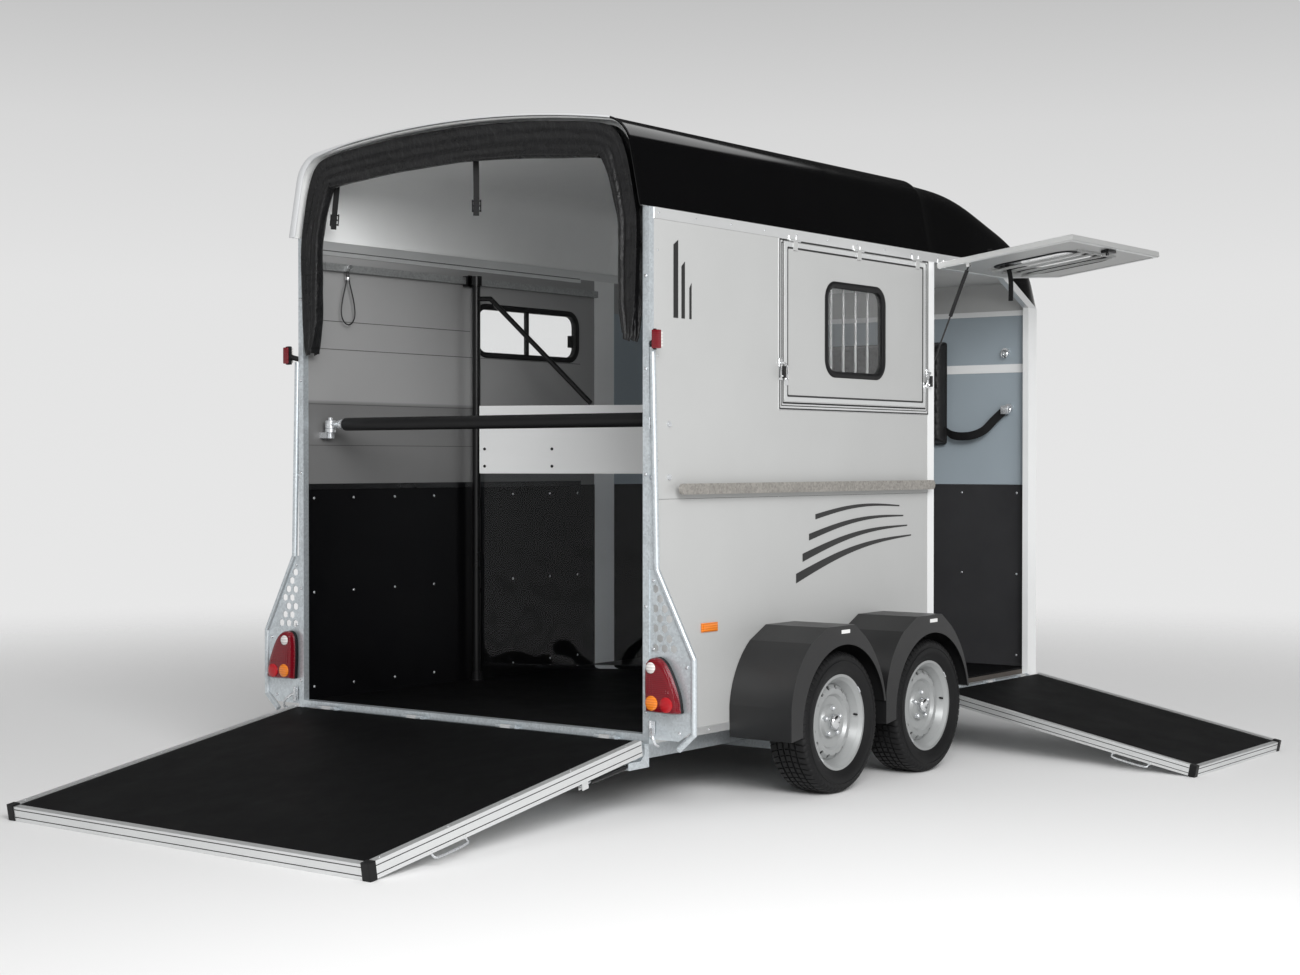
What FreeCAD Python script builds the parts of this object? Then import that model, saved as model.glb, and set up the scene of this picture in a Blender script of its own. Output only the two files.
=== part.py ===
import FreeCAD, Part
import math
import os

# Twin-axle horse trailer with its rear ramp, side ramp and front flap open, in millimetres.
# The model is drawn with x = 0 at the rear face of the rear posts, +x forward, +y left and
# z = 0 on the ground. Every node is moved at the end so that the origin is the ball centre.
V = FreeCAD.Vector

# Body shell
body_length = 3240.0
half_width = 950.0
wall = 28.0
floor_bottom = 280.0
floor_thick = 28.0
mat_thick = 8.0
base_rail_height = 31.0
rail_bottom = 2270.0
rail_height = 42.0
post = 30.0
trim_proud = 3.0
lining = 4.0
soft_gap = 0.3
floor_top = floor_bottom + floor_thick + mat_thick
rail_top = rail_bottom + rail_height
inner = half_width - wall
front_inner = body_length - wall
wall_bottom = floor_bottom + base_rail_height

# Right side, from the front: doorway, door post, hatch
doorway = 963.0
door_post = 54.0
hatch_length = 1247.0
hatch_height = 707.0
frame_bar = 26.0
panel_gap = 6.0
panel_thick = 24.0
chamfer_run = 330.0
chamfer_fall = 152.0
door_front = body_length - 90.0
door_rear = door_front - doorway
door_post_rear = door_rear - door_post
hatch_rear = door_post_rear - hatch_length
hatch_sill = rail_bottom - hatch_height
chamfer_start = door_front - chamfer_run
chamfer_end_z = rail_bottom - chamfer_fall
left_post = 160.0
left_post_rear = door_post_rear - 113.0
left_post_front = left_post_rear + left_post

# Windows: rubber ring, pane and bars
ring = 26.0
ring_proud = 4.0
pane = 4.0
window_radius = 80.0
window_length = 505.0
window_height = 412.0
window_low = hatch_sill + 145.0
window_high = window_low + window_height
bar_radius = 6.0

# Flap and hatch hinge line, and how far the flap stands open
flap_hinge_out = 8.0
flap_hinge_z = rail_bottom - 4.0
flap_bottom = hatch_sill + 14.0
flap_open_deg = 97.5

# Rear ramp
ramp_hinge_x = -22.0
ramp_hinge_z = floor_top - 20.0
ramp_length = 1485.0
ramp_root = 20.0
ramp_half = half_width - 5.0
ramp_edge = 30.0
ramp_depth = 55.0
ramp_lip = 5.0
ramp_mat = 6.0
ramp_ground_gap = 0.5

# Side ramp
side_hinge_y = -half_width - 24.0
side_hinge_z = floor_top - 28.0
side_length = 1270.0
side_root = 16.0
side_depth = 44.0
side_rear = door_rear + 5.0
side_front = door_front + 56.0

# Wheels
axle_spread = 727.0
axle_middle = body_length * 0.399
axle_x = (axle_middle - axle_spread / 2, axle_middle + axle_spread / 2)
wheel_radius = 289.0
tyre_width = 185.0
rim_radius = 195.0
rim_face = half_width + 268.5
rim_width = 152.0
spindle = 20.0
running = 0.05
drum_radius = 112.0

# Fenders
fender_wide = 294.0
fender_sheet = 5.0
fender_top = 684.0
fender_opening = 318.0
fender_rear = 400.0
fender_front = 325.0

# Chassis, axles, drawbar
beam_half = half_width - 120.0
beam_wide = 50.0
beam_tall = 75.0
axle_tube = 70.0
arm_ahead = 150.0
arm_plane = half_width + 8.0
arm_thick = 27.0
drawbar_length = 1235.0
ball_x = body_length + drawbar_length
ball_z = 400.0
socket_radius = 25.2
socket_depth = 30.0
jockey_x = ball_x - 425.0
jockey_y = 130.0
jockey_radius = 100.0
jockey_tyre = 60.0

# Divider
divider_x = door_post_rear - 1073.0
divider_y = half_width - 82.0
divider_deg = -66.7
divider_reach = half_width * 2
divider_tube = 19.0
brace_tube = 12.0
plank_low = 1293.0
plank_high = 1611.0
plank_thick = 28.0

# Rear bar
bar_x = 122.0
bar_z = 1510.0
bar_tube = 15.0
bar_pad = 28.0
bar_pivot_y = half_width - 70.0

# Flap strut
strut_tube = 9.0
strut_rod = 4.0
flap_strut_on_flap = 155.0
flap_strut_x = door_rear + 28.0
flap_strut_low = (flap_strut_x - 9.0, -half_width + 38.0, 1740.0)

# Ramp strut
ramp_strut_y = ramp_half - 20.0
ramp_strut_lug = (-96.0, 205.0)
ramp_strut_out = 360.0

# Tie loop: a coated cable that hangs from a ferrule on the inner rail
loop_cable = 6.0
loop_x = 240.0


def box(x0, x1, y0, y1, z0, z1):
    return Part.makeBox(x1 - x0, y1 - y0, z1 - z0, V(x0, y0, z0))


def fuse(shapes):
    shape = shapes[0]
    if len(shapes) > 1:
        shape = shapes[0].multiFuse(shapes[1:]).removeSplitter()
    return shape


def group(shapes):
    return Part.Compound(shapes)


def cylinder(start, end, radius):
    axis = V(*end) - V(*start)
    return Part.makeCylinder(radius, axis.Length, V(*start), axis)


def tube(start, end, radius, bore):
    return cylinder(start, end, radius).cut(cylinder(start, end, bore))


def prism_y(points, y0, y1):
    """Extrude a closed outline of (x, z) points along y."""
    wire = Part.makePolygon([V(x, y0, z) for x, z in points + points[:1]])
    return Part.Face(wire).extrude(V(0, y1 - y0, 0))


def prism_x(points, x0, x1):
    """Extrude a closed outline of (y, z) points along x."""
    wire = Part.makePolygon([V(x0, y, z) for y, z in points + points[:1]])
    return Part.Face(wire).extrude(V(x1 - x0, 0, 0))


def bar_between(start, end, wide, tall):
    """A square-cut bar from start to end, wide across and tall upwards."""
    axis = V(*end) - V(*start)
    bar = Part.makeBox(axis.Length, wide, tall, V(0, -wide / 2, -tall / 2))
    bar.Placement = FreeCAD.Placement(V(*start), FreeCAD.Rotation(V(1, 0, 0), axis))
    return bar


def mirrored(shape):
    return shape.mirror(V(0, 0, 0), V(0, 1, 0))


def both_sides(shape):
    return group([shape, mirrored(shape)])


def turned(shape, point, axis, degrees):
    copy = shape.copy()
    copy.rotate(V(*point), V(*axis), degrees)
    return copy


def rounded_plate(x0, x1, z0, z1, y0, y1, radius):
    """A plate in the x-z plane whose four corners have the radius."""
    plate = box(x0, x1, y0, y1, z0, z1)
    upright = [e for e in plate.Edges if abs(e.tangentAt(e.FirstParameter).y) > 0.99]
    return plate.makeFillet(radius, upright)


def window(x0, x1, z0, z1, y0, y1):
    """Cutter, rubber ring and pane of a window in a wall that lies from y0 to y1."""
    cutter = rounded_plate(x0, x1, z0, z1, y0 - 1, y1 + 1, window_radius)
    outer = rounded_plate(x0, x1, z0, z1, y0 - ring_proud, y1 + ring_proud, window_radius)
    hole = rounded_plate(x0 + ring, x1 - ring, z0 + ring, z1 - ring,
                         y0 - ring_proud, y1 + ring_proud, window_radius - ring)
    middle = (y0 + y1) / 2
    glass = rounded_plate(x0 + ring, x1 - ring, z0 + ring, z1 - ring,
                          middle - pane / 2, middle + pane / 2, window_radius - ring)
    return cutter, outer.cut(hole), glass


def hinge(point, along, stations, radius, pin_radius):
    """Fixed knuckles with their pin, and the moving knuckles, of a hinge at some stations."""
    fixed, moving = [], []
    for s in stations:
        def at(offset):
            return tuple(V(*point) + V(*along) * (s + offset))
        fixed += [cylinder(at(-50), at(-26), radius), cylinder(at(26), at(50), radius),
                  cylinder(at(-50), at(50), pin_radius)]
        moving.append(tube(at(-25), at(25), radius, pin_radius + running))
    return fixed, moving


nodes = {}

# Chassis: two long beams and cross members under the floor
beam_top = floor_bottom
beam_low = beam_top - beam_tall
cross_share = (0.0185, 0.191, 0.386, 0.623, 0.802)
cross_x = [body_length * share for share in cross_share] + [body_length - beam_wide]
beams = [box(0, body_length, s * beam_half - beam_wide / 2, s * beam_half + beam_wide / 2,
             beam_low, beam_top) for s in (-1, 1)]
crosses = [box(x, x + beam_wide, -beam_half, beam_half, beam_low, beam_top) for x in cross_x]
nodes["chassis_frame"] = fuse(beams + crosses)

# Drawbar: two beams that meet behind the coupling
draw_root_x = body_length - 590.0
draw_tip_x = ball_x - 420.0
draw_root_y = half_width - 250.0
draw_knee_y = half_width - 450.0
draw_wide = 60.0
draw_tall = 70.0
draw_tip_z = ball_z - 50.0
draw_low_z = beam_low - draw_tall / 2
arms = []
for side in (-1, 1):
    start = (draw_root_x, side * draw_root_y, draw_low_z)
    knee = (body_length + 60, side * draw_knee_y, draw_low_z)
    tip = (draw_tip_x, side * 55.0, draw_tip_z)
    arms.append(fuse([bar_between(start, knee, draw_wide, draw_tall),
                      bar_between(knee, tip, draw_wide, draw_tall)]))
nose_plate = box(draw_tip_x - 160, draw_tip_x + 30, -85, 85, draw_tip_z + draw_tall / 2,
                 draw_tip_z + draw_tall / 2 + 8)
nodes["drawbar"] = fuse(arms + [nose_plate])

# Overrun unit with the coupling head and its ball socket
unit_low = draw_tip_z + draw_tall / 2 + 8
unit = box(draw_tip_x - 150, draw_tip_x + 60, -45, 45, unit_low, unit_low + 70)
shaft_z = unit_low + 35
shaft = cylinder((draw_tip_x + 60, 0, shaft_z), (ball_x - 90, 0, shaft_z), 25)
head = fuse([cylinder((ball_x, 0, ball_z - socket_radius), (ball_x, 0, ball_z + 45), 42),
             prism_y([(ball_x - 150, shaft_z - 32), (ball_x, ball_z - 20), (ball_x, ball_z + 45),
                      (ball_x - 150, shaft_z + 40)], -34, 34)])
socket = cylinder((ball_x, 0, ball_z - 60), (ball_x, 0, ball_z + socket_depth - socket_radius),
                  socket_radius)
handle = fuse([prism_y([(ball_x - 60, ball_z + 40), (ball_x - 10, ball_z + 45), (ball_x - 120, ball_z + 112),
                        (ball_x - 190, ball_z + 112), (ball_x - 190, ball_z + 100)], -12, 12)])
bellows = cylinder((draw_tip_x + 60, 0, shaft_z), (draw_tip_x + 190, 0, shaft_z), 38)
nodes["coupling"] = fuse([unit, shaft, head, handle, bellows]).cut(socket)

# Handbrake lever, upright behind the coupling
brake_x = draw_tip_x - 40.0
nodes["handbrake_lever"] = fuse([
    box(brake_x - 20, brake_x + 20, -57, -45, unit_low + 8, unit_low + 60),
    bar_between((brake_x, -53, unit_low + 40), (brake_x - 130, -53, unit_low + 330), 10, 26),
    cylinder((brake_x - 124, -53, unit_low + 318), (brake_x - 170, -53, unit_low + 420), 16)])

# Jockey wheel: clamp and outer mast on the drawbar, stem and fork that swivel, wheel
mast_radius = 24.0
stem_radius = 20.0
clamp_z = unit_low + 30
mast_low = 290.0
mast_top = clamp_z + 260
nodes["jockey_mast"] = fuse([
    tube((jockey_x, jockey_y, mast_low), (jockey_x, jockey_y, mast_top), mast_radius,
         stem_radius + running),
    tube((jockey_x, jockey_y, clamp_z - 25), (jockey_x, jockey_y, clamp_z + 25), mast_radius + 12,
         mast_radius - 1),
    box(jockey_x - 30, jockey_x + 30, 45, jockey_y - mast_radius, clamp_z - 22, clamp_z + 22)])
fork_y = jockey_tyre / 2 + 6
nodes["jockey_fork"] = fuse([
    cylinder((jockey_x, jockey_y, 226), (jockey_x, jockey_y, mast_top - 4), stem_radius),
    box(jockey_x - 24, jockey_x + 24, jockey_y - fork_y - 5, jockey_y + fork_y + 5, 216, 226),
    box(jockey_x - 20, jockey_x + 20, jockey_y - fork_y - 5, jockey_y - fork_y, 86, 216),
    box(jockey_x - 20, jockey_x + 20, jockey_y + fork_y, jockey_y + fork_y + 5, 86, 216),
    cylinder((jockey_x, jockey_y - fork_y - 5, 100), (jockey_x, jockey_y + fork_y + 5, 100), 8),
    cylinder((jockey_x, jockey_y, mast_top - 4), (jockey_x, jockey_y, mast_top + 20), 12),
    cylinder((jockey_x, jockey_y, mast_top + 12), (jockey_x - 110, jockey_y, mast_top + 12), 6),
    cylinder((jockey_x - 106, jockey_y, mast_top + 10), (jockey_x - 106, jockey_y, mast_top + 80), 10)])


def revolve_y(points, x, z):
    """Revolve a closed outline of (radius, y) points about the y axis line at x, z."""
    wire = Part.makePolygon([V(x + r, y, z) for r, y in points + points[:1]])
    return Part.Face(wire).revolve(V(x, 0, z), V(0, 1, 0), 360)


half_tyre = jockey_tyre / 2
jockey_outline = [(8.05, -24), (40, -24), (60, -half_tyre), (92, -half_tyre), (jockey_radius, -18),
                  (jockey_radius, 18), (92, half_tyre), (60, half_tyre), (40, 24), (8.05, 24)]
nodes["jockey_wheel"] = revolve_y([(r, jockey_y + y) for r, y in jockey_outline],
                                  jockey_x, jockey_radius)

# Axles: torsion tube under the beams, trailing arms and the spindles that carry the wheels
tube_z = beam_low - axle_tube / 2 - 2
axles = []
for x in axle_x:
    tube_x = x + arm_ahead
    pieces = [box(tube_x - axle_tube / 2, tube_x + axle_tube / 2, -arm_plane, arm_plane,
                  tube_z - axle_tube / 2, tube_z + axle_tube / 2 + 2)]
    for side in (-1, 1):
        y0 = side * arm_plane
        y1 = side * (arm_plane + arm_thick)
        low, high = min(y0, y1), max(y0, y1)
        pieces.append(prism_y([(tube_x + 40, tube_z - 38), (tube_x + 40, tube_z + 38),
                               (x + 30, wheel_radius + 34), (x - 30, wheel_radius + 34),
                               (x - 34, wheel_radius - 30), (tube_x - 30, tube_z - 40)], low, high))
        pieces.append(cylinder((x, y0, wheel_radius), (x, side * (rim_face - 60), wheel_radius),
                               spindle))
        pieces.append(cylinder((x, y1, wheel_radius), (x, y1 + side * 20, wheel_radius), 60))
    axles.append(fuse(pieces))
nodes["axles"] = group(axles)

# Wheels: tyre and rim outlines as (radius, distance in from the outer flange)
half = tyre_width / 2
middle = rim_width / 2
flange = rim_radius - 18.0
seat = flange + soft_gap
far = rim_width
tyre_outline = [(seat, 13 + 0.2), (rim_radius + soft_gap, 2.2), (rim_radius + 43, middle - half),
                (wheel_radius - 21, middle - half + 5), (wheel_radius, middle - 62),
                (wheel_radius, middle + 62), (wheel_radius - 21, middle + half - 5),
                (rim_radius + 43, middle + half), (rim_radius + soft_gap, far - 2.2), (seat, far - 13 - 0.2)]
barrel_outline = [(rim_radius, 0), (rim_radius, 2), (flange, 13), (flange - 1, 34), (160, 50), (160, 102),
                  (flange - 1, far - 34), (flange, far - 13), (rim_radius, far - 2), (rim_radius, far),
                  (184, far), (170, far - 14), (154, 105), (154, 47), (170, 14), (184, 0)]
disc_outline = [(157, 60), (152, 44), (136, 32), (114, 32), (104, 44), (70, 50), (62, 36), (40, 34),
                (30, 34), (30, 20), (0, 20), (0, 40), (40, 40), (58, 42), (66, 57), (102, 51),
                (116, 38), (134, 38), (147, 48), (151, 60)]
drum_outline = [(spindle + running, 44), (60, 44), (drum_radius - 8, 62), (drum_radius, 70),
                (drum_radius, 150), (drum_radius - 8, 150), (drum_radius - 8, 78), (60, 66),
                (spindle + running, 66)]
hub_holes = 16
hole_ring = 141.0
hole_radius = 9.0
for x, fore in zip(axle_x, ("rear", "front")):
    for side, hand in ((-1, "right"), (1, "left")):
        place = [[(r, side * (rim_face - w)) for r, w in outline]
                 for outline in (tyre_outline, barrel_outline, disc_outline, drum_outline)]
        tyre, barrel, disc, drum = [revolve_y(o, x, wheel_radius) for o in place]
        holes = []
        for i in range(hub_holes):
            a = 2 * math.pi * (i + 0.5) / hub_holes
            cx, cz = x + hole_ring * math.cos(a), wheel_radius + hole_ring * math.sin(a)
            holes.append(cylinder((cx, side * (rim_face - 70), cz), (cx, side * (rim_face - 20), cz),
                                  hole_radius))
        rim = fuse([barrel, disc, drum]).cut(Part.Compound(holes))
        bore = cylinder((x, side * (rim_face - 170), wheel_radius),
                        (x, side * (rim_face - 50), wheel_radius), spindle + running)
        nodes["tyre_" + hand + "_" + fore] = tyre
        nodes["rim_" + hand + "_" + fore] = rim.cut(bore)


def fender_outline(x, inset):
    """Outline of a fender round the wheel at x, as a wire at y = 0 set in from the sheet's face."""
    top = fender_top - inset
    rear, front = x - fender_rear + inset, x + fender_front - inset
    rear_low, front_low = (250.0, 350.0) if inset == 0 else (200.0, 200.0)
    p = [V(rear, 0, rear_low), V(rear, 0, 380), V(x - 352 + inset * 0.8, 0, 520 - inset * 0.5),
         V(x - 255 + inset * 0.4, 0, 628 - inset * 0.8), V(x - 140, 0, top), V(x + 75, 0, top),
         V(x + 160 - inset * 0.4, 0, 628 - inset * 0.8), V(x + 268 - inset * 0.8, 0, 505 - inset * 0.5),
         V(front, 0, 350), V(front, 0, front_low)]
    edges = [Part.makeLine(p[0], p[1]), Part.Arc(p[1], p[2], p[3]).toShape(), Part.makeLine(p[3], p[4]),
             Part.makeLine(p[4], p[5]), Part.makeLine(p[5], p[6]), Part.Arc(p[6], p[7], p[8]).toShape()]
    if inset:
        edges.append(Part.makeLine(p[8], p[9]))
    edges.append(Part.makeLine(p[9] if inset else p[8], p[0]))
    return Part.Wire(edges)


def fender(x):
    root = half_width + trim_proud
    outer = Part.Face(fender_outline(x, 0)).extrude(V(0, -fender_wide, 0))
    hollow = Part.Face(fender_outline(x, fender_sheet)).extrude(V(0, fender_sheet - fender_wide, 0))
    outer.translate(V(0, -root, 0))
    hollow.translate(V(0, -root, 0))
    opening = cylinder((x, -half_width, wheel_radius), (x, -root - fender_wide - 1, wheel_radius),
                       fender_opening)
    return outer.cut(hollow).cut(opening)


right_fenders = group([fender(x) for x in axle_x])
nodes["fenders"] = both_sides(right_fenders)

# Floor, mat, sill, posts and rails
sill_deep = 40.0
nodes["floor_panel"] = box(sill_deep, front_inner, -inner, inner, floor_bottom, floor_bottom + floor_thick)
socket_flange = 34.0
mat_hole = cylinder((divider_x, divider_y, floor_bottom), (divider_x, divider_y, floor_top + 1),
                    socket_flange + 2)
nodes["floor_mat"] = box(sill_deep, front_inner - lining, -inner + lining, inner - lining,
                         floor_top - mat_thick, floor_top).cut(mat_hole)
rear_sill = box(0, sill_deep, -half_width + post, half_width - post, floor_top - 28, floor_top)
nodes["rear_posts"] = both_sides(box(0, post, -half_width, -half_width + post, floor_bottom, rail_top))
right_base = box(post, door_post_rear, -half_width - trim_proud, -inner, floor_bottom, wall_bottom)
left_base = box(post, left_post_rear, inner, half_width + trim_proud, floor_bottom, wall_bottom)
door_sill = box(door_rear, door_front, -half_width - 12, -inner, floor_bottom - 14, floor_bottom + 6)
rail_outline = [(post, rail_bottom), (chamfer_start, rail_bottom), (door_front, chamfer_end_z),
                (body_length, chamfer_end_z), (chamfer_start + 10, rail_top), (post, rail_top)]
right_rail = prism_y(rail_outline, -half_width - trim_proud, -inner)
stud_y, stud_z = flap_strut_low[1:]
strut_stud = fuse([
    box(door_rear - 24, door_rear, -inner, stud_y + 8, stud_z - 14, stud_z + 14),
    cylinder((door_rear, stud_y, stud_z), (flap_strut_low[0] - strut_rod - 0.5, stud_y, stud_z), 5)])
right_posts = [box(door_post_rear, door_rear, -half_width - trim_proud, -inner, floor_bottom,
                   rail_bottom).fuse(strut_stud),
               box(door_front, body_length, -half_width - trim_proud, -inner, floor_bottom, chamfer_end_z)]
left_posts = [box(left_post_rear, left_post_front, inner, half_width + trim_proud, floor_bottom,
                  rail_bottom).fuse(
                      box(left_post_rear, left_post_front, inner - lining, inner, floor_top, rail_bottom)),
              box(door_front, body_length, inner, half_width + trim_proud, floor_bottom, chamfer_end_z)]
nodes["door_posts"] = group(right_posts + left_posts)

# Walls
nodes["right_wall_rear"] = box(post, hatch_rear, -half_width, -inner, wall_bottom, rail_bottom)
nodes["right_wall_lower"] = box(hatch_rear, door_post_rear, -half_width, -inner, wall_bottom, hatch_sill)
hatch_hole = box(hatch_rear + frame_bar, door_post_rear - frame_bar, -half_width - 10, -inner + 10,
                 hatch_sill + frame_bar, rail_bottom - 4)
nodes["hatch_frame"] = box(hatch_rear, door_post_rear, -half_width - trim_proud, -inner, hatch_sill,
                           rail_bottom).cut(hatch_hole)
left_window = (left_post_rear - 911.0, left_post_rear - 123.0, 1845.0, 2104.0)
cutter, left_ring, left_pane = window(*left_window, inner, half_width)
nodes["left_wall"] = box(post, left_post_rear, inner, half_width, wall_bottom, rail_bottom).cut(cutter)
mullion = (left_window[0] + left_window[1]) / 2
mullion_bar = box(mullion - 8, mullion + 8, inner + 8, half_width - 8, left_window[2] + ring,
                  left_window[3] - ring)
nodes["left_window"] = fuse([left_ring, mullion_bar, left_pane])
front_outline = [(-inner, floor_bottom), (inner, floor_bottom), (inner, chamfer_end_z),
                 (inner - 42, chamfer_end_z + 132), (42 - inner, chamfer_end_z + 132), (-inner, chamfer_end_z)]
nodes["front_wall"] = prism_x(front_outline, front_inner, body_length)

# Left front panel with the groom's door
groom_wide = 600.0
groom_front = door_front - 80.0
groom_rear = groom_front - groom_wide
groom_low, groom_high = wall_bottom + 49.0, 1990.0
left_front_outline = [(left_post_front, wall_bottom - base_rail_height), (door_front, floor_bottom),
                      (door_front, chamfer_end_z), (chamfer_start, rail_bottom),
                      (left_post_front, rail_bottom)]
groom_hole = box(groom_rear, groom_front, inner - 10, half_width + 10, groom_low, groom_high)
nodes["left_front_panel"] = prism_y(left_front_outline, inner, half_width).cut(groom_hole)
door_gap = panel_gap
groom_face = half_width + 4
groom_axis = (groom_front - door_gap / 2, groom_face + 6, 0)
groom_stations = (560.0, 1175.0, 1790.0)
panel_knuckles, groom_knuckles = hinge(groom_axis, (0, 0, 1), groom_stations, 6.0, 3.0)
panel_leaves = [box(groom_axis[0], groom_axis[0] + 34, half_width, half_width + 5, z + a, z + b)
                for z in groom_stations for a, b in ((-50, -26), (26, 50))]
groom_leaves = [box(groom_axis[0] - 36, groom_axis[0] - 2.5, groom_face, groom_face + 4, z - 25, z + 25)
                for z in groom_stations]
nodes["left_front_panel"] = fuse([nodes["left_front_panel"]] + panel_knuckles + panel_leaves)
nodes["groom_door"] = fuse([box(groom_rear + door_gap, groom_front - door_gap, groom_face - panel_thick,
                                groom_face, groom_low + door_gap, groom_high - door_gap)]
                           + groom_knuckles + groom_leaves)

# Roof: arched shell whose nose falls away to the front
roof_thick = 7.0
liner_thick = 4.0
roof_base = chamfer_end_z
# columns: x from the body's front, half width beyond the body's, lean of the sides in degrees,
# crown above the top rail, corner radius
nose_shape = [(-1090.0, 39.5, 11.5, 410.0, 140.0),
              (-760.0, 36.0, 11.5, 382.0, 150.0),
              (-440.0, 28.0, 11.5, 316.0, 165.0),
              (-190.0, 16.0, 12.0, 248.0, 180.0),
              (-40.0, 5.0, 12.5, 168.0, 170.0),
              (28.0, -15.0, 13.0, 28.0, 120.0)]
nose_table = [(body_length + x, half_width + wide, lean, rail_top + rise, corner)
              for x, wide, lean, rise, corner in nose_shape]
top_radius = 5000.0
roof_rear = -50.0


def arch(x, base_half, lean, crown, corner, inset):
    """Closed section of the roof at x: base, leaning sides, corner arcs and top arc."""
    lean = math.radians(lean)
    big = top_radius - inset
    top_centre = V(x, 0, crown - top_radius)
    start = V(x, base_half - inset / math.cos(lean), roof_base)
    along = V(0, -math.sin(lean), math.cos(lean))
    inward = V(0, -math.cos(lean), -math.sin(lean))
    small = corner - inset
    offset = start + inward * small - top_centre
    b = offset.dot(along)
    c = offset.dot(offset) - (big - small) ** 2
    t = -b + math.sqrt(b * b - c)
    centre = top_centre + offset + along * t
    low = centre - inward * small
    outward = (centre - top_centre).normalize()
    high = centre + outward * small
    bisector = (outward - inward).normalize()
    middle_point = centre + bisector * small
    crown_point = V(x, 0, crown - inset)

    def left(p):
        return V(p.x, -p.y, p.z)
    edges = [Part.makeLine(start, low), Part.Arc(low, middle_point, high).toShape(),
             Part.Arc(high, crown_point, left(high)).toShape(),
             Part.Arc(left(high), left(middle_point), left(low)).toShape(),
             Part.makeLine(left(low), left(start)), Part.makeLine(left(start), start)]
    return Part.Wire(edges)


def roof_solid(inset, rear, front_inset):
    sections = [arch(x, h, l, c, r, inset) for x, h, l, c, r in nose_table]
    sections[-1].translate(V(-front_inset, 0, 0))
    nose = Part.makeLoft(sections, True, False)
    first = nose_table[0]
    main = Part.Face(arch(*first, inset)).extrude(V(rear - first[0], 0, 0))
    return main.fuse(nose)


below = rail_top - 400
skirt_cut = prism_y([(-200, below), (body_length, below), (body_length, chamfer_end_z),
                     (chamfer_start + 10, rail_top), (-200, rail_top)], -half_width - 150, half_width + 150)
shell = roof_solid(0, roof_rear, 0).cut(roof_solid(roof_thick, roof_rear - 10, roof_thick))
nodes["roof"] = shell.cut(skirt_cut)
liner = roof_solid(roof_thick, roof_rear + 12, roof_thick)
liner = liner.cut(roof_solid(roof_thick + liner_thick, roof_rear - 10, roof_thick + liner_thick))
nodes["roof_liner"] = liner.cut(skirt_cut)

# Linings
kick_top = 1232.0
right_kick = box(post, door_post_rear, -inner, -inner + lining, floor_top, kick_top)
left_kick = box(post, left_post_rear, inner - lining, inner, floor_top, kick_top)
front_kick = box(front_inner - lining, front_inner, -inner + lining, inner - lining, floor_top, kick_top)
left_front_kick = box(left_post_front, front_inner - lining, inner - lining, inner, floor_top, kick_top)
nodes["kick_lining"] = group([right_kick, left_kick, front_kick, left_front_kick.cut(groom_hole)])
band_low, band_high = 1800.0, 1840.0
top_band = 2246.0
blue_low = kick_top + 1
blue_front = box(front_inner - lining, front_inner, -inner + lining, inner - lining, blue_low,
                 chamfer_end_z - 6)
blue_left = box(left_post_front, front_inner - lining, inner - lining, inner, blue_low,
                chamfer_end_z - 6).cut(groom_hole)
white_band = box(front_inner - lining - 2, front_inner - lining, -inner + lining + 2, inner - lining - 2,
                 band_low, band_high)
nodes["blue_lining"] = group([fuse([blue_front, white_band]), blue_left])

# Rear ramp, drawn level and then turned down to the ground
ramp_axis = (ramp_hinge_x, 0, ramp_hinge_z)
drop = ramp_hinge_z - ramp_ground_gap
reach = math.hypot(ramp_length, ramp_depth)
ramp_deg = -math.degrees(math.asin(drop / reach) - math.atan2(ramp_depth, ramp_length))


def on_ramp(shape):
    return turned(shape, ramp_axis, (0, 1, 0), ramp_deg)


ramp_root_x = ramp_hinge_x - ramp_root
ramp_tip_x = ramp_hinge_x - ramp_length
top = ramp_hinge_z
ramp_sides = [box(ramp_tip_x, ramp_root_x, s * (ramp_half - ramp_edge / 2) - ramp_edge / 2,
                  s * (ramp_half - ramp_edge / 2) + ramp_edge / 2, top - ramp_depth, top + ramp_lip)
              for s in (-1, 1)]
ramp_end = box(ramp_tip_x, ramp_tip_x + 28, -ramp_half + ramp_edge, ramp_half - ramp_edge,
               top - ramp_depth, top)
deck = box(ramp_tip_x + 28, ramp_root_x, -ramp_half + ramp_edge, ramp_half - ramp_edge, top - 45,
           top - ramp_mat)
knuckle = 9.0
knuckle_pin = 4.0
ramp_stations = [ramp_half * share for share in (-0.8, -0.27, 0.27, 0.8)]
sill_knuckles, ramp_knuckles = hinge(ramp_axis, (0, 1, 0), ramp_stations, knuckle, knuckle_pin)
sill_leaves = [box(ramp_hinge_x + 4, 0, y + a, y + b, top - 8, top) for y in ramp_stations
               for a, b in ((-50, -26), (26, 50))]
ramp_leaves = [box(ramp_root_x, ramp_hinge_x - 5, y - 25, y + 25, top - 9, top - 1)
               for y in ramp_stations]
lug_out = (ramp_strut_out - 18, ramp_strut_out + 18)
ramp_lugs = [box(ramp_hinge_x - lug_out[1], ramp_hinge_x - lug_out[0], s * (ramp_strut_y + d) - 1.5,
                 s * (ramp_strut_y + d) + 1.5, top - ramp_depth - 30, top - ramp_depth)
             for s in (-1, 1) for d in (-8.5, 8.5)]
nodes["rear_ramp_frame"] = on_ramp(fuse(ramp_sides + [ramp_end, deck] + ramp_knuckles + ramp_leaves
                                        + ramp_lugs))
nodes["rear_ramp_mat"] = on_ramp(box(ramp_tip_x + 28, ramp_root_x, -ramp_half + ramp_edge,
                                     ramp_half - ramp_edge, top - ramp_mat, top))

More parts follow.
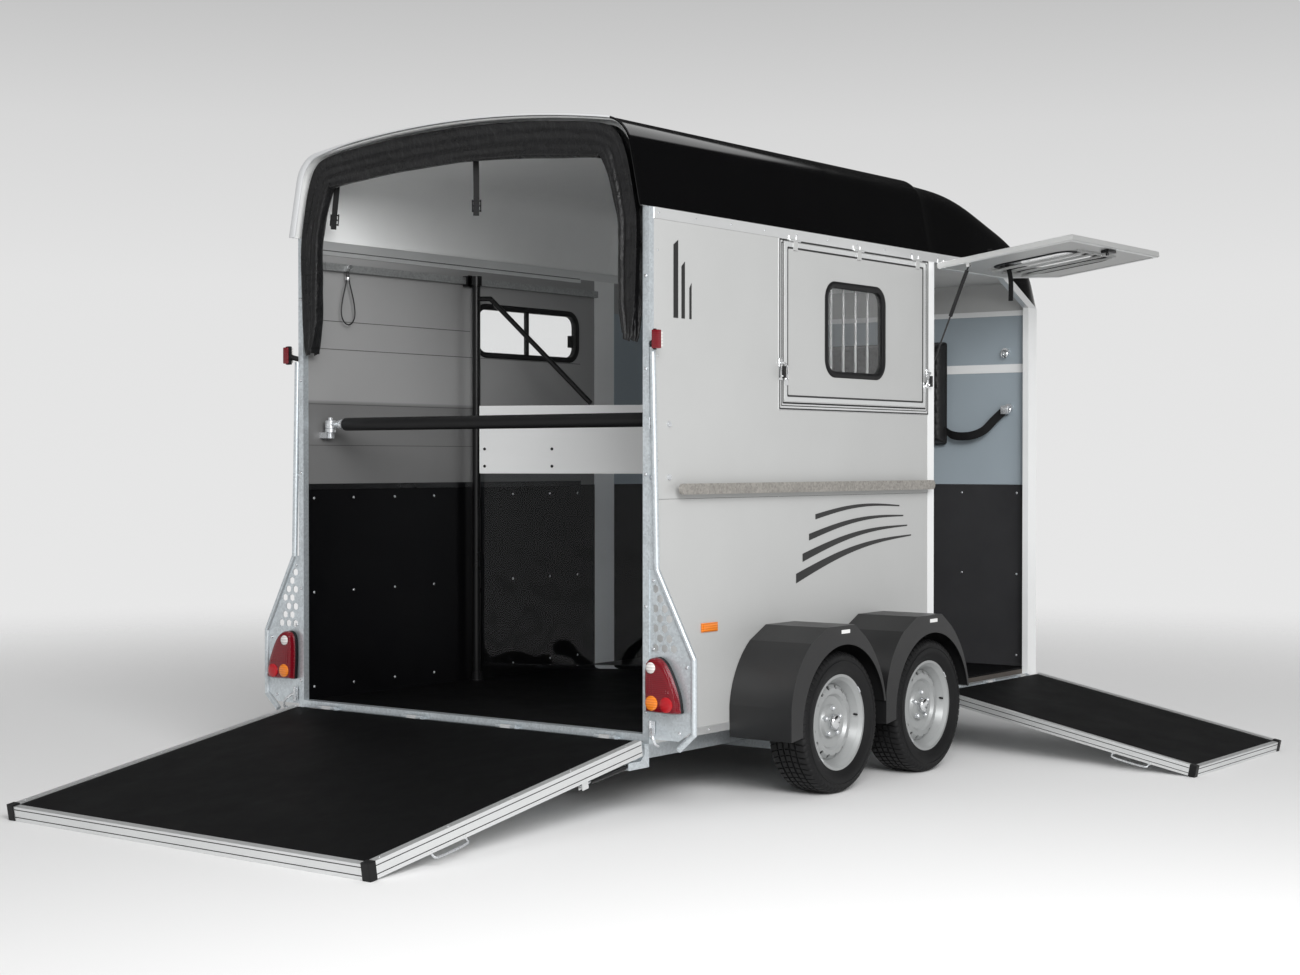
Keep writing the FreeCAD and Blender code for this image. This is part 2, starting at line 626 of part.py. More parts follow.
# Side ramp, drawn level towards the right and then turned down to the ground
side_axis = (0, side_hinge_y, side_hinge_z)
side_reach = math.hypot(side_length, side_depth)
side_deg = math.degrees(math.asin((side_hinge_z - ramp_ground_gap) / side_reach)
                        - math.atan2(side_depth, side_length))


def on_side_ramp(shape):
    return turned(shape, side_axis, (1, 0, 0), side_deg)


side_root_y = side_hinge_y - side_root
side_tip_y = side_hinge_y - side_length
side_top = side_hinge_z
side_edges = [box(side_rear, side_rear + 24, side_tip_y, side_root_y, side_top - side_depth,
                  side_top + ramp_lip),
              box(side_front - 24, side_front, side_tip_y, side_root_y, side_top - side_depth,
                  side_top + ramp_lip),
              box(side_rear + 24, side_front - 24, side_tip_y, side_tip_y + 24, side_top - side_depth,
                  side_top)]
side_deck = box(side_rear + 24, side_front - 24, side_tip_y + 24, side_root_y, side_top - 36,
                side_top - ramp_mat)
side_stations = [side_rear + (side_front - side_rear) * share for share in (0.16, 0.5, 0.84)]
door_knuckles, side_knuckles = hinge(side_axis, (1, 0, 0), side_stations, 8.0, knuckle_pin)
door_leaves = [box(x + a, x + b, side_hinge_y + 4, -half_width - 12, side_top - 8, side_top - 2)
               for x in side_stations for a, b in ((-50, -26), (26, 50))]
side_leaves = [box(x - 25, x + 25, side_root_y, side_hinge_y - 5, side_top - 8, side_top - 1)
               for x in side_stations]
nodes["side_ramp_frame"] = on_side_ramp(fuse(side_edges + [side_deck] + side_knuckles + side_leaves))
nodes["door_sills"] = group([fuse([rear_sill] + sill_knuckles + sill_leaves),
                             fuse([door_sill] + door_knuckles + door_leaves)])
nodes["side_ramp_mat"] = on_side_ramp(box(side_rear + 24, side_front - 24, side_tip_y + 24, side_root_y,
                                          side_top - ramp_mat, side_top))

# Hatch and flap: panels that hang from hinges at their top edge, with a barred window
hinge_y = -half_width - flap_hinge_out
flap_knuckle = 4.6
flap_pin = 2.2
panel_out = -half_width - trim_proud - 3
panel_in = panel_out + panel_thick


def barred_panel(outline, win_rear, win_front):
    cut, rubber, glass = window(win_rear, win_front, window_low, window_high, panel_out, panel_in)
    panel = prism_y(outline, panel_out, panel_in).cut(cut)
    step = (win_front - win_rear) / 5
    bars = [cylinder((win_rear + step * i, panel_in + ring_proud + bar_radius, window_low - 30),
                     (win_rear + step * i, panel_in + ring_proud + bar_radius, window_high + 30),
                     bar_radius) for i in range(1, 5)]
    strips = [box(win_rear + step - 40, win_front - step + 40, panel_in, panel_in + ring_proud + 3,
                  z - 8, z + 8) for z in (window_low - 22, window_high + 22)]
    return panel, rubber, glass, fuse(bars + strips)


def hinge_knuckles(x, z):
    """Fixed and moving halves of a hinge whose pin runs along x."""
    fixed, moving = [], []
    pin = cylinder((x - 40, hinge_y, z), (x + 40, hinge_y, z), flap_pin)
    for a, b in ((x - 40, x - 16), (x + 16, x + 40)):
        fixed.append(cylinder((a, hinge_y, z), (b, hinge_y, z), flap_knuckle))
        fixed.append(box(a, b, hinge_y, -half_width - trim_proud, z + 1, z + 5))
        fixed.append(box(a, b, -half_width - trim_proud - 3, -half_width - trim_proud, z + 1, z + 20))
    moving.append(tube((x - 15, hinge_y, z), (x + 15, hinge_y, z), flap_knuckle, flap_pin + running))
    moving.append(box(x - 15, x + 15, hinge_y - flap_knuckle, hinge_y - flap_pin, z - 40, z - 3.5))
    moving.append(box(x - 15, x + 15, hinge_y - flap_knuckle, panel_out, z - 40, z - 8))
    return fuse(fixed + [pin]), fuse(moving)


hatch_x = (hatch_rear + frame_bar + panel_gap, door_post_rear - frame_bar - panel_gap)
hatch_low = hatch_sill + frame_bar + panel_gap
hatch_outline = [(hatch_x[0], hatch_low), (hatch_x[1], hatch_low), (hatch_x[1], flap_hinge_z - panel_gap),
                 (hatch_x[0], flap_hinge_z - panel_gap)]
flap_x = (door_rear + panel_gap, door_front - panel_gap)
flap_outline = [(flap_x[0], flap_bottom), (flap_x[1], flap_bottom), (flap_x[1], chamfer_end_z - 8),
                (chamfer_start - 10, flap_hinge_z - panel_gap), (flap_x[0], flap_hinge_z - panel_gap)]
knuckle_x = {"hatch": [hatch_rear + hatch_length * share for share in (0.09, 0.5, 0.91)],
             "flap": [door_rear + doorway * share for share in (0.075, 0.325, 0.575)]}
window_rear = {"hatch": hatch_rear + 348.0, "flap": door_rear + 233.0}
fixed_hinges = []
panels = {}
clevis_z = flap_hinge_z - flap_strut_on_flap
clevis_y = panel_in + 14
clevis = [box(flap_strut_x + a, flap_strut_x + b, panel_in, clevis_y + 6, clevis_z - 8, clevis_z + 8)
          for a, b in ((-10, -7), (7, 10))]
clevis.append(cylinder((flap_strut_x - 10, clevis_y, clevis_z), (flap_strut_x + 10, clevis_y, clevis_z), 3.0))
for name, outline in (("hatch", hatch_outline), ("flap", flap_outline)):
    panel, rubber, glass, bars = barred_panel(outline, window_rear[name], window_rear[name] + window_length)
    for x in knuckle_x[name]:
        fixed, moving = hinge_knuckles(x, flap_hinge_z)
        fixed_hinges.append(fixed)
        panel = panel.fuse(moving)
    if name == "flap":
        panel = panel.multiFuse(clevis)
    panels[name] = {"panel": panel.fuse(bars), "window": rubber.fuse(glass)}
for name, pieces in panels.items():
    for part_name, shape in pieces.items():
        if name == "flap":
            shape = turned(shape, (0, hinge_y, flap_hinge_z), (1, 0, 0), -flap_open_deg)
        nodes[name + "_" + part_name] = shape
nodes["wall_rails"] = group([right_rail.multiFuse(fixed_hinges), mirrored(right_rail), right_base,
                             left_base])

# Divider: post, plank, brace and skirt, drawn along +x and then turned about the post
divider_axis = (divider_x, divider_y, 0)
inner_rail_z = rail_bottom - 70.0
brace_top = inner_rail_z - 85.0
brace_x = divider_x + 70.0
plank_start = divider_x + divider_tube + 0.5
plank_half = plank_thick / 2
plank_slats = 3
slat = (plank_high - plank_low) / plank_slats
grooves = [box(plank_start - 1, divider_x + divider_reach + 1, divider_y + side * plank_half - 1.5,
               divider_y + side * plank_half + 1.5, plank_low + slat * i - 2, plank_low + slat * i + 2)
           for i in range(1, plank_slats) for side in (-1, 1)]
grooved_plank = box(plank_start, divider_x + divider_reach, divider_y - plank_half,
                    divider_y + plank_half, plank_low, plank_high).cut(group(grooves))
nodes_divider = {
    "divider_post": fuse([
        cylinder((divider_x, divider_y, floor_top + 12), (divider_x, divider_y, inner_rail_z - 4),
                 divider_tube),
        cylinder((divider_x, divider_y, brace_top), (brace_x, divider_y, brace_top), brace_tube),
        Part.makeSphere(brace_tube, V(brace_x, divider_y, brace_top)),
        cylinder((brace_x, divider_y, brace_top), (divider_x + 560, divider_y, plank_high + brace_tube * 0.72),
                 brace_tube)]),
    "divider_plank": grooved_plank,
    "divider_skirt": box(divider_x + 24, divider_x + divider_reach - 60, divider_y - 3, divider_y + 3, 380,
                         plank_low)}
for name, shape in nodes_divider.items():
    nodes[name] = turned(shape, divider_axis, (0, 0, 1), divider_deg)

# Inner rail with the divider clamp, floor socket
rail_face = inner - 26.0
ferrule_y = rail_face - 5.0
ferrule_low = inner_rail_z - 14.0
inner_rail = fuse([
    box(loop_x - 12, loop_x + 12, ferrule_y - 5, rail_face, ferrule_low, ferrule_low + 22),
    box(112, left_post_rear, rail_face, inner - 8, inner_rail_z - 16, inner_rail_z + 16),
    box(150, 190, inner - 8, inner, inner_rail_z - 16, inner_rail_z + 16),
    box(left_post_rear - 120, left_post_rear - 80, inner - 8, inner, inner_rail_z - 16,
        inner_rail_z + 16)])
clamp_low = inner_rail_z - 26
divider_clamp = fuse([
    box(divider_x - 30, divider_x + 30, rail_face - 8, rail_face, clamp_low, clamp_low + 52),
    tube((divider_x, divider_y, clamp_low + 4), (divider_x, divider_y, clamp_low + 48), 27,
         divider_tube + running)])
socket_low = floor_top - mat_thick
floor_socket = fuse([
    cylinder((divider_x, divider_y, socket_low), (divider_x, divider_y, floor_top + 6), socket_flange),
    tube((divider_x, divider_y, floor_top + 6), (divider_x, divider_y, floor_top + 40), 26,
         divider_tube + running)])
nodes["divider_mounts"] = group([divider_clamp, floor_socket])

# Rear bar, hung on a pin at the left post and resting in a bracket at the right
nodes["rear_bar"] = fuse([
    cylinder((bar_x, -inner + 30, bar_z), (bar_x, bar_pivot_y - 23, bar_z), bar_tube),
    tube((bar_x, bar_pivot_y, bar_z - 18), (bar_x, bar_pivot_y, bar_z + 18), 24, 10 + running),
    cylinder((bar_x, -inner + 60, bar_z), (bar_x, bar_pivot_y - 90, bar_z), bar_pad)])
bar_brackets = [
    fuse([cylinder((bar_x, bar_pivot_y, bar_z - 60), (bar_x, bar_pivot_y, bar_z + 30), 10),
          cylinder((bar_x, bar_pivot_y, bar_z - 34), (bar_x, bar_pivot_y, bar_z - 18 - soft_gap), 24),
          box(bar_x - 24, bar_x + 24, bar_pivot_y, inner, bar_z - 60, bar_z - 34)]),
    box(bar_x - 24, bar_x + 24, -inner, -inner + 56, bar_z - 25, bar_z - bar_tube - soft_gap)]

# Outer tie rail on the right wall
tie_z = 1222.0
tie_tall = 42.0
tie_out = half_width + 30.0
tie_end = door_post_rear - 13.0
tie_rail = fuse([
    rounded_plate(150, tie_end, tie_z, tie_z + tie_tall, -tie_out - 18, -tie_out, 20),
    box(200, 240, -tie_out, -half_width, tie_z + 8, tie_z + 34),
    box(tie_end - 70, tie_end - 30, -tie_out, -half_width, tie_z + 8, tie_z + 34)])

nodes["tie_rails"] = group([inner_rail, tie_rail])

# Lamp brackets beside the rear posts
plate_out = half_width + 200.0
plate_shape = [(0, 300), (135, 300), (200, 345), (200, 610), (35, 940), (0, 940)]
right_plate = prism_x([(-half_width - out, z) for out, z in plate_shape], 4, 8)
hex_across = 34.0
hex_pitch = 43.0
hex_rows = 7
hexes = []
for row in range(hex_rows):
    z = 645 + row * hex_pitch * 0.866
    for column in range(4):
        out = 26 + hex_pitch * (column + 0.5 * (row % 2))
        room = 35 + 165 * (940 - z - hex_across) / 330
        if out + hex_across / 2 < min(room, 170):
            points = [(-half_width - out + hex_across / 2 * math.cos(math.radians(60 * k + 30)),
                       z + hex_across / 2 * math.sin(math.radians(60 * k + 30))) for k in range(6)]
            hexes.append(prism_x(points, 3, 9))
right_plate = right_plate.cut(group(hexes))
edge_radius = 12.0
edge_path = [(-half_width - 12, 1780), (-half_width - 32, 940), (-plate_out - 5, 610),
             (-plate_out - 5, 331), (-plate_out + 65, 269)]
edge_pieces = [cylinder((6, *edge_path[i]), (6, *edge_path[i + 1]), edge_radius)
               for i in range(len(edge_path) - 1)]
edge_pieces += [Part.makeSphere(edge_radius, V(6, *p)) for p in edge_path[1:-1]]
tube_edge = fuse(edge_pieces)
nodes["lamp_brackets"] = both_sides(fuse([right_plate, tube_edge]))
lamp_shape = [(10, 405), (155, 405), (158, 440), (90, 600), (50, 615), (12, 590)]
lamp_deep = 46.0
tail_lamp = prism_x([(-half_width - out, z) for out, z in lamp_shape], -lamp_deep, 4)
marker = fuse([cylinder((14, -half_width, 1804), (-20, -half_width - 48, 1804), 8).cut(
    box(-40, 40, -half_width, 0, 1700, 1900)),
               box(-32, -6, -half_width - 66, -half_width - 34, 1765, 1850)])
reflector_rear = axle_x[0] - fender_rear - 193.0
reflector = box(reflector_rear, reflector_rear + 110, -half_width - 10, -half_width, 680, 716)
nodes["lamps"] = both_sides(group([tail_lamp, marker, reflector]))

# Soft pieces: gathered curtain under the arch, head pad
curtain_front = 36.0
curtain_edge = half_width - 135.0
curtain_low = rail_top - 512.0
curtain_outer = Part.Face(arch(-curtain_front, *nose_table[0][1:], roof_thick + liner_thick + soft_gap))
curtain_inner = Part.Face(arch(-curtain_front, curtain_edge, 1.0, rail_top + 250, 95.0, 0))
curtain_arch = curtain_outer.extrude(V(2 * curtain_front, 0, 0)).cut(
    curtain_inner.extrude(V(2 * curtain_front, 0, 0)))
post_inner = half_width - post - soft_gap
beyond = box(-curtain_front - 1, curtain_front + 1, -half_width - 150, -post_inner, roof_base - 1,
             rail_top + 1)
curtain_arch = curtain_arch.cut(beyond).cut(mirrored(beyond))
drop_outline = [(-curtain_edge, roof_base), (-post_inner, roof_base), (-post_inner, curtain_low + 60),
                (-post_inner + 15, curtain_low), (-curtain_edge - 15, curtain_low),
                (-curtain_edge, curtain_low + 50)]
right_drop = prism_x(drop_outline, -curtain_front, curtain_front)
nodes["curtain"] = fuse([curtain_arch, right_drop, mirrored(right_drop)])
pad_seat = front_inner - lining - 2 - soft_gap
pad_half = half_width / 2 + 3
pad_thick = 90.0
nodes["head_pad"] = box(pad_seat - pad_thick, pad_seat, -pad_half, pad_half, 1440, 1960)

# Wall eyes
nodes["wall_fittings"] = group(bar_brackets + [
    cylinder((front_inner - lining - 22, side * y, z), (front_inner - lining, side * y, z), 20)
    for side in (-1, 1) for y, z in ((half_width - 146, 1904), (half_width - 128, 1621))])


neck = 22.0
eye_radius = 7.0


def strut(tube_end, rod_end, body_length_share, inside, across):
    """Gas strut: an eye and neck at tube_end, a tube, and a rod partly inside it that ends at rod_end."""
    start, end = V(*tube_end), V(*rod_end)
    whole = (end - start).Length
    along = (end - start) * (1 / whole)
    tube_length = whole * body_length_share
    sleeve = Part.makeCylinder(strut_tube, tube_length - neck, start + along * neck, along)
    stem = Part.makeCylinder(strut_tube / 2, neck, start + along * (eye_radius - 2), along)
    bore = Part.makeCylinder(strut_rod + running, tube_length, start + along * (neck + 6), along)
    half_eye = V(*across) * 6
    eye = cylinder(tuple(start - half_eye), tuple(start + half_eye), eye_radius)
    pin_hole = cylinder(tuple(start - half_eye), tuple(start + half_eye), pin + running)
    rod = Part.makeCylinder(strut_rod, whole - tube_length + inside, end - along * (whole - tube_length + inside),
                            along)
    return fuse([sleeve, stem, eye]).cut(bore).cut(pin_hole), rod


# Ramp struts
pin = 3.0


def ramp_point(out, down):
    angle = math.radians(-ramp_deg)
    return (ramp_hinge_x - out * math.cos(angle) - down * math.sin(angle),
            ramp_hinge_z - out * math.sin(angle) - down * math.cos(angle))


ramp_eye = ramp_point(ramp_strut_out, ramp_depth + 16)
sleeves, rods, lugs = [], [], []
lug_x, lug_z = ramp_strut_lug
for side in (-1, 1):
    y = side * ramp_strut_y
    sleeve, rod = strut((lug_x, y, lug_z), (ramp_eye[0], y, ramp_eye[1]), 0.78, 178, (0, 1, 0))
    sleeves.append(sleeve)
    rods.append(rod)
    plates = [prism_y([(20, floor_bottom), (20, 190), (lug_x - 12, 190), (lug_x - 12, 218), (-30, 218),
                       (-8, 240), (-8, floor_bottom)], y + a, y + b) for a, b in ((-10, -7), (7, 10))]
    lugs.append(fuse(plates + [box(-8, 20, y - 10, y + 10, floor_bottom - 10, floor_bottom),
                               cylinder((lug_x, y - 10, lug_z), (lug_x, y + 10, lug_z), pin)]))
nodes["ramp_strut_tubes"] = group(sleeves)
nodes["ramp_strut_rods"] = group(rods)
nodes["strut_lugs"] = group(lugs)

# Flap strut: its tube hangs from a clevis on the flap
open_angle = math.radians(flap_open_deg)
eye_in = panel_in - hinge_y + 14
flap_eye = (flap_strut_x,
            hinge_y - flap_strut_on_flap * math.sin(open_angle) + eye_in * math.cos(open_angle),
            flap_hinge_z - flap_strut_on_flap * math.cos(open_angle) - eye_in * math.sin(open_angle))
sleeve, rod = strut(flap_eye, flap_strut_low, 0.45, 24, (1, 0, 0))
nodes["flap_strut_tube"] = sleeve
nodes["flap_strut_rod"] = rod

# Tie loop: cable in a drop-shaped loop whose ends meet the ferrule from below
loop_points = [V(loop_x + x, ferrule_y, ferrule_low + z) for x, z in (
    (-5, 0), (-5, -34), (-18, -78), (-32, -124), (-41, -172), (-37, -206), (-18, -230), (8, -236),
    (32, -223), (45, -190), (40, -144), (26, -96), (12, -56), (5, -24), (5, 0))]
loop_edges, loop_radii = [], []
run_start = loop_points[0]
for before, corner, after in zip(loop_points, loop_points[1:], loop_points[2:]):
    back, ahead = before - corner, after - corner
    turn = math.pi - back.getAngle(ahead)
    tangent = 0.45 * min(back.Length, ahead.Length)
    radius = tangent / math.tan(turn / 2)
    arc_start = corner + back * (tangent / back.Length)
    arc_end = corner + ahead * (tangent / ahead.Length)
    towards = (arc_start + arc_end) * 0.5 - corner
    middle_point = corner + towards * (radius * (1 / math.cos(turn / 2) - 1) / towards.Length)
    loop_edges += [Part.makeLine(run_start, arc_start), Part.Arc(arc_start, middle_point, arc_end).toShape()]
    loop_radii.append(radius)
    run_start = arc_end
loop_edges.append(Part.makeLine(run_start, loop_points[-1]))
loop_wire = Part.Wire(loop_edges)
loop_section = Part.Wire([Part.makeCircle(loop_cable / 2, loop_points[0], loop_points[1] - loop_points[0])])
nodes["tie_loop"] = loop_wire.makePipeShell([loop_section], True, False)
loop_share = nodes["tie_loop"].Volume / (loop_wire.Length * math.pi * loop_cable ** 2 / 4)
print("loop radii", [round(r) for r in loop_radii], "volume share", round(loop_share, 4))

os.makedirs("parts", exist_ok=True)
for name, shape in nodes.items():
    placed = shape.copy()
    placed.translate(V(-ball_x, 0, -ball_z))
    placed.exportStep(os.path.join("parts", name + ".step"))
print(len(nodes), "nodes")
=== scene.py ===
import bpy, bmesh, math
from mathutils import Vector, Matrix, noise


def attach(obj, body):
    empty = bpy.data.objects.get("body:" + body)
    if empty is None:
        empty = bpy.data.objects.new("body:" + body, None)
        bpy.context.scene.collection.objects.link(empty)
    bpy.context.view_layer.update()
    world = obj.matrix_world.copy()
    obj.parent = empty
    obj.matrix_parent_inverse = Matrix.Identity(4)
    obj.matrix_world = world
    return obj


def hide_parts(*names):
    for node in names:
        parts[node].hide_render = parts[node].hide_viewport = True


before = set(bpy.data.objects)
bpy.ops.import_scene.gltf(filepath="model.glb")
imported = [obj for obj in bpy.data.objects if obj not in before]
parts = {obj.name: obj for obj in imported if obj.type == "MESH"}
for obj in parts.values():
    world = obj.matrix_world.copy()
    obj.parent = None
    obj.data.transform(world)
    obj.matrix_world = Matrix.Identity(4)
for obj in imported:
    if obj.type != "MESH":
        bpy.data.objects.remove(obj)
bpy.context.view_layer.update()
scene = bpy.context.scene

# places are given from the rear face of the posts and the ground, as the trailer is measured
ballPlace = Vector((4.475, 0.0, 0.4))


def spot(x, y, z):
    return Vector((x, y, z)) - ballPlace


def linked(name, data):
    made = bpy.data.objects.new(name, data)
    scene.collection.objects.link(made)
    return made


# camera
cameraSetup = {"place": (-6.164, -5.591, 1.347), "yaw": 36.95, "pitch": -0.716, "lens": 56.62}
cameraData = bpy.data.cameras.new("trailerCamera")
scene.camera = camera = linked("trailerCamera", cameraData)
yaw, pitch = math.radians(cameraSetup["yaw"]), math.radians(cameraSetup["pitch"])
aim = Vector((math.cos(yaw) * math.cos(pitch), math.sin(yaw) * math.cos(pitch), math.sin(pitch)))
camera.location = spot(*cameraSetup["place"])
camera.rotation_mode = "QUATERNION"
camera.rotation_quaternion = aim.to_track_quat("-Z", "Y")
cameraData.lens = cameraSetup["lens"]
cameraData.sensor_width = 36
cameraData.clip_end = 200
scene.view_settings.view_transform = "Standard"
print("camera placed")


# materials: small wiring helpers, then one function for each finish
def feed(tree, node, sockets):
    # each socket takes its value, or a link where it is given another node's output
    for key, value in sockets.items():
        socket = node.inputs[key]
        if isinstance(value, bpy.types.NodeSocket):
            tree.links.new(value, socket)
        else:
            socket.default_value = (*value, 1) if socket.type == "RGBA" else value


def addNode(tree, kind, sockets=None, **settings):
    node = tree.nodes.new("ShaderNode" + kind)
    for key, value in settings.items():
        setattr(node, key, value)
    feed(tree, node, sockets or {})
    return node


def newFinish(name):
    mat = bpy.data.materials.new(name)
    mat.use_nodes = True
    tree = mat.node_tree
    tree.nodes.clear()
    shader = addNode(tree, "BsdfPrincipled")
    addNode(tree, "OutputMaterial", {0: shader.outputs[0]})
    return mat, tree, shader


def objectPattern(tree, scale=(1, 1, 1), turn=(0, 0, 0)):
    place = addNode(tree, "TexCoord").outputs["Object"]
    return addNode(tree, "Mapping", {"Scale": scale, "Rotation": turn, "Vector": place}).outputs[0]


def grainOf(tree, vector, scale, detail=4.0, rough=0.55):
    sockets = {"Scale": scale, "Detail": detail, "Roughness": rough, "Vector": vector}
    return addNode(tree, "TexNoise", sockets).outputs["Fac"]


def ramp(tree, value, stops):
    node = addNode(tree, "ValToRGB", {0: value})
    band = node.color_ramp
    band.elements[1].position, band.elements[0].position = stops[-1][0], stops[0][0]
    for at, _ in stops[1:-1]:
        band.elements.new(at)
    for element, (_, colour) in zip(band.elements, stops):
        element.color = (*colour, 1) if hasattr(colour, "__len__") else (colour, colour, colour, 1)
    return node.outputs[0]


def mathNode(tree, kind, *values):
    return addNode(tree, "Math", dict(enumerate(values)), operation=kind).outputs[0]


def mixColour(tree, factor, a, b):
    return addNode(tree, "Mix", {0: factor, 6: a, 7: b}, data_type="RGBA").outputs[2]


def bumpOf(tree, height, strength, distance):
    return addNode(tree, "Bump", {"Strength": strength, "Distance": distance, "Height": height}).outputs[0]


def axisOf(tree, vector, index):
    return addNode(tree, "SeparateXYZ", {0: vector}).outputs[index]


def shaded(tone, share):
    return tuple(min(1, c * share) for c in tone)


def acrossTest(tree, vector, kind, place):
    # one where the distance from the trailer's middle plane is less or greater than place
    return mathNode(tree, kind, mathNode(tree, "ABSOLUTE", axisOf(tree, vector, 1)), place)


# where a finish changes, from the middle plane, in height and in length from the ball
skinPlaces = {"innerFace": 0.936, "outerFace": 0.945, "seam": (1.208, 1.215), "wheelDisc": 1.1625,
              "frontBoard": -1.275}


def sheetFinish(name, tone, metal=0.25, rough=0.42, streak=0.02, grainScale=700, strength=0.05,
                stretch=(1, 1, 0.06), inside=None, dustAndPaintedShade=False):
    mat, tree, shader = newFinish(name)
    wide = grainOf(tree, objectPattern(tree, (1.1, 1.1, 1.1)), 2.2, 3)
    fine = grainOf(tree, objectPattern(tree, stretch), grainScale, 2)
    tones = ramp(tree, wide, [(0.3, shaded(tone, 1 - streak)), (0.7, shaded(tone, 1 + streak))])
    if inside:
        # the skin on the walls' inner side, darker below the seam
        place = objectPattern(tree)
        innerSide = acrossTest(tree, place, "LESS_THAN", skinPlaces["innerFace"])
        below, above = inside
        seamLow, seamHigh = (z / 2 for z in skinPlaces["seam"])
        upTo = mathNode(tree, "MULTIPLY", axisOf(tree, place, 2), 0.5)
        skin = ramp(tree, upTo, [(0.0, below), (seamLow, below), (seamHigh, above), (1.0, above)])
        tones = mixColour(tree, innerSide, tones, skin)
    if dustAndPaintedShade:
        # painted shade in the wheel's recess past its disc, darkened by brake dust as well
        dustAndShadeMask = acrossTest(tree, objectPattern(tree), "LESS_THAN", skinPlaces["wheelDisc"])
        tones = mixColour(tree, dustAndShadeMask, tones, (0.015, 0.015, 0.015))
    gloss = ramp(tree, fine, [(0.2, max(0.02, rough - 0.06)), (0.8, rough + 0.07)])
    feed(tree, shader, {"Base Color": tones, "Roughness": gloss, "Metallic": metal,
                        "Normal": bumpOf(tree, fine, strength, 0.0004)})
    return mat


def galvanisedFinish(name, tone=(0.56, 0.6, 0.63), rough=0.38, outer=None):
    mat, tree, shader = newFinish(name)
    vector = objectPattern(tree)
    cells = addNode(tree, "TexVoronoi", {"Scale": 120, "Vector": vector})
    spangle = axisOf(tree, cells.outputs["Color"], 0)
    cloud = grainOf(tree, vector, 14, 4)
    both = mathNode(tree, "ADD", *[mathNode(tree, "MULTIPLY", pattern, 0.5) for pattern in (spangle, cloud)])
    tones = ramp(tree, both, [(0.2, shaded(tone, 0.88)), (0.8, shaded(tone, 1.08))])
    if outer:
        # what lies outside the walls has weathered to another tone
        outside = acrossTest(tree, vector, "GREATER_THAN", skinPlaces["outerFace"])
        worn = ramp(tree, both, [(0.2, shaded(outer, 0.8)), (0.8, shaded(outer, 1.16))])
        tones = mixColour(tree, outside, tones, worn)
    gloss = ramp(tree, both, [(0.2, rough + 0.12), (0.8, rough - 0.08)])
    feed(tree, shader, {"Base Color": tones, "Roughness": gloss, "Metallic": 0.75,
                        "Normal": bumpOf(tree, cloud, 0.08, 0.0008)})
    return mat


def darkFinish(name, tone, rough=0.55, grainScale=900, strength=0.25, spread=0.35, scuff=0.0, coat=0.0,
               shine=0.5):
    mat, tree, shader = newFinish(name)
    vector = objectPattern(tree)
    fine = grainOf(tree, vector, grainScale, 3)
    wide = grainOf(tree, vector, 3.5, 6, 0.65)
    colour = ramp(tree, wide, [(0.3, shaded(tone, 1 - spread)), (0.75, shaded(tone, 1 + spread))])
    if scuff:
        rubbed = grainOf(tree, objectPattern(tree, (1.0, 7.0, 1.0), (0, 0, 0.5)), 6, 8, 0.7)
        where = ramp(tree, rubbed, [(0.58, 0.0), (0.78, scuff)])
        colour = mixColour(tree, where, colour, (0.09, 0.09, 0.088))
    gloss = ramp(tree, wide, [(0.3, rough - 0.07), (0.7, rough + 0.07)])
    feed(tree, shader, {"Base Color": colour, "Roughness": gloss, "Specular IOR Level": shine,
                        "Coat Weight": coat, "Coat Roughness": 0.06,
                        "Normal": bumpOf(tree, fine, strength, 0.0006)})
    return mat


def wavesOf(tree, vector, axis, scale, distortion=0.0):
    sockets = {"Scale": scale, "Distortion": distortion, "Vector": vector}
    return addNode(tree, "TexWave", sockets, bands_direction=axis).outputs["Fac"]


def clothFinish(name, tone, thread, rough, sheen, crinkle, shine):
    mat, tree, shader = newFinish(name)
    vector = objectPattern(tree)
    weave = mathNode(tree, "MULTIPLY", *[wavesOf(tree, vector, axis, thread / 6, 0.6) for axis in "XZ"])
    wide = grainOf(tree, vector, 7, 4)
    tones = ramp(tree, wide, [(0.3, shaded(tone, 0.7)), (0.7, shaded(tone, 1.3))])
    gloss = ramp(tree, wide, [(0.2, rough - 0.1), (0.8, rough + 0.05)])
    if crinkle:
        # coated cloth that is rolled up creases between its folds
        creases = mathNode(tree, "MULTIPLY_ADD", weave, 0.02, grainOf(tree, vector, 22, 5, 0.6))
        normal = bumpOf(tree, creases, crinkle, 0.012)
    else:
        normal = bumpOf(tree, weave, 0.35, 0.0004)
    feed(tree, shader, {"Base Color": tones, "Roughness": gloss, "Sheen Weight": sheen,
                        "Specular IOR Level": shine, "Normal": normal})
    return mat


def lensFinish(name, tone, rough, ribs, glow=0.0):
    mat, tree, shader = newFinish(name)
    wave = wavesOf(tree, objectPattern(tree), "Z", ribs / 6)
    deep = ramp(tree, wave, [(0.2, shaded(tone, 0.75)), (0.8, tone)])
    feed(tree, shader, {"Base Color": deep, "Roughness": rough, "Specular IOR Level": 0.3,
                        "Coat Weight": 0.45, "Coat Roughness": 0.03, "Normal": bumpOf(tree, wave, 0.4, 0.0012)})
    if glow:
        feed(tree, shader, {"Emission Color": tone, "Emission Strength": glow})
    return mat


def glassFinish(name, tone, rough, see):
    mat, tree, shader = newFinish(name)
    dust = grainOf(tree, objectPattern(tree), 12, 5)
    gloss = ramp(tree, dust, [(0.4, rough), (0.8, rough + 0.02)])
    feed(tree, shader, {"Base Color": tone, "Roughness": gloss, "Transmission Weight": see, "IOR": 1.2})
    return mat


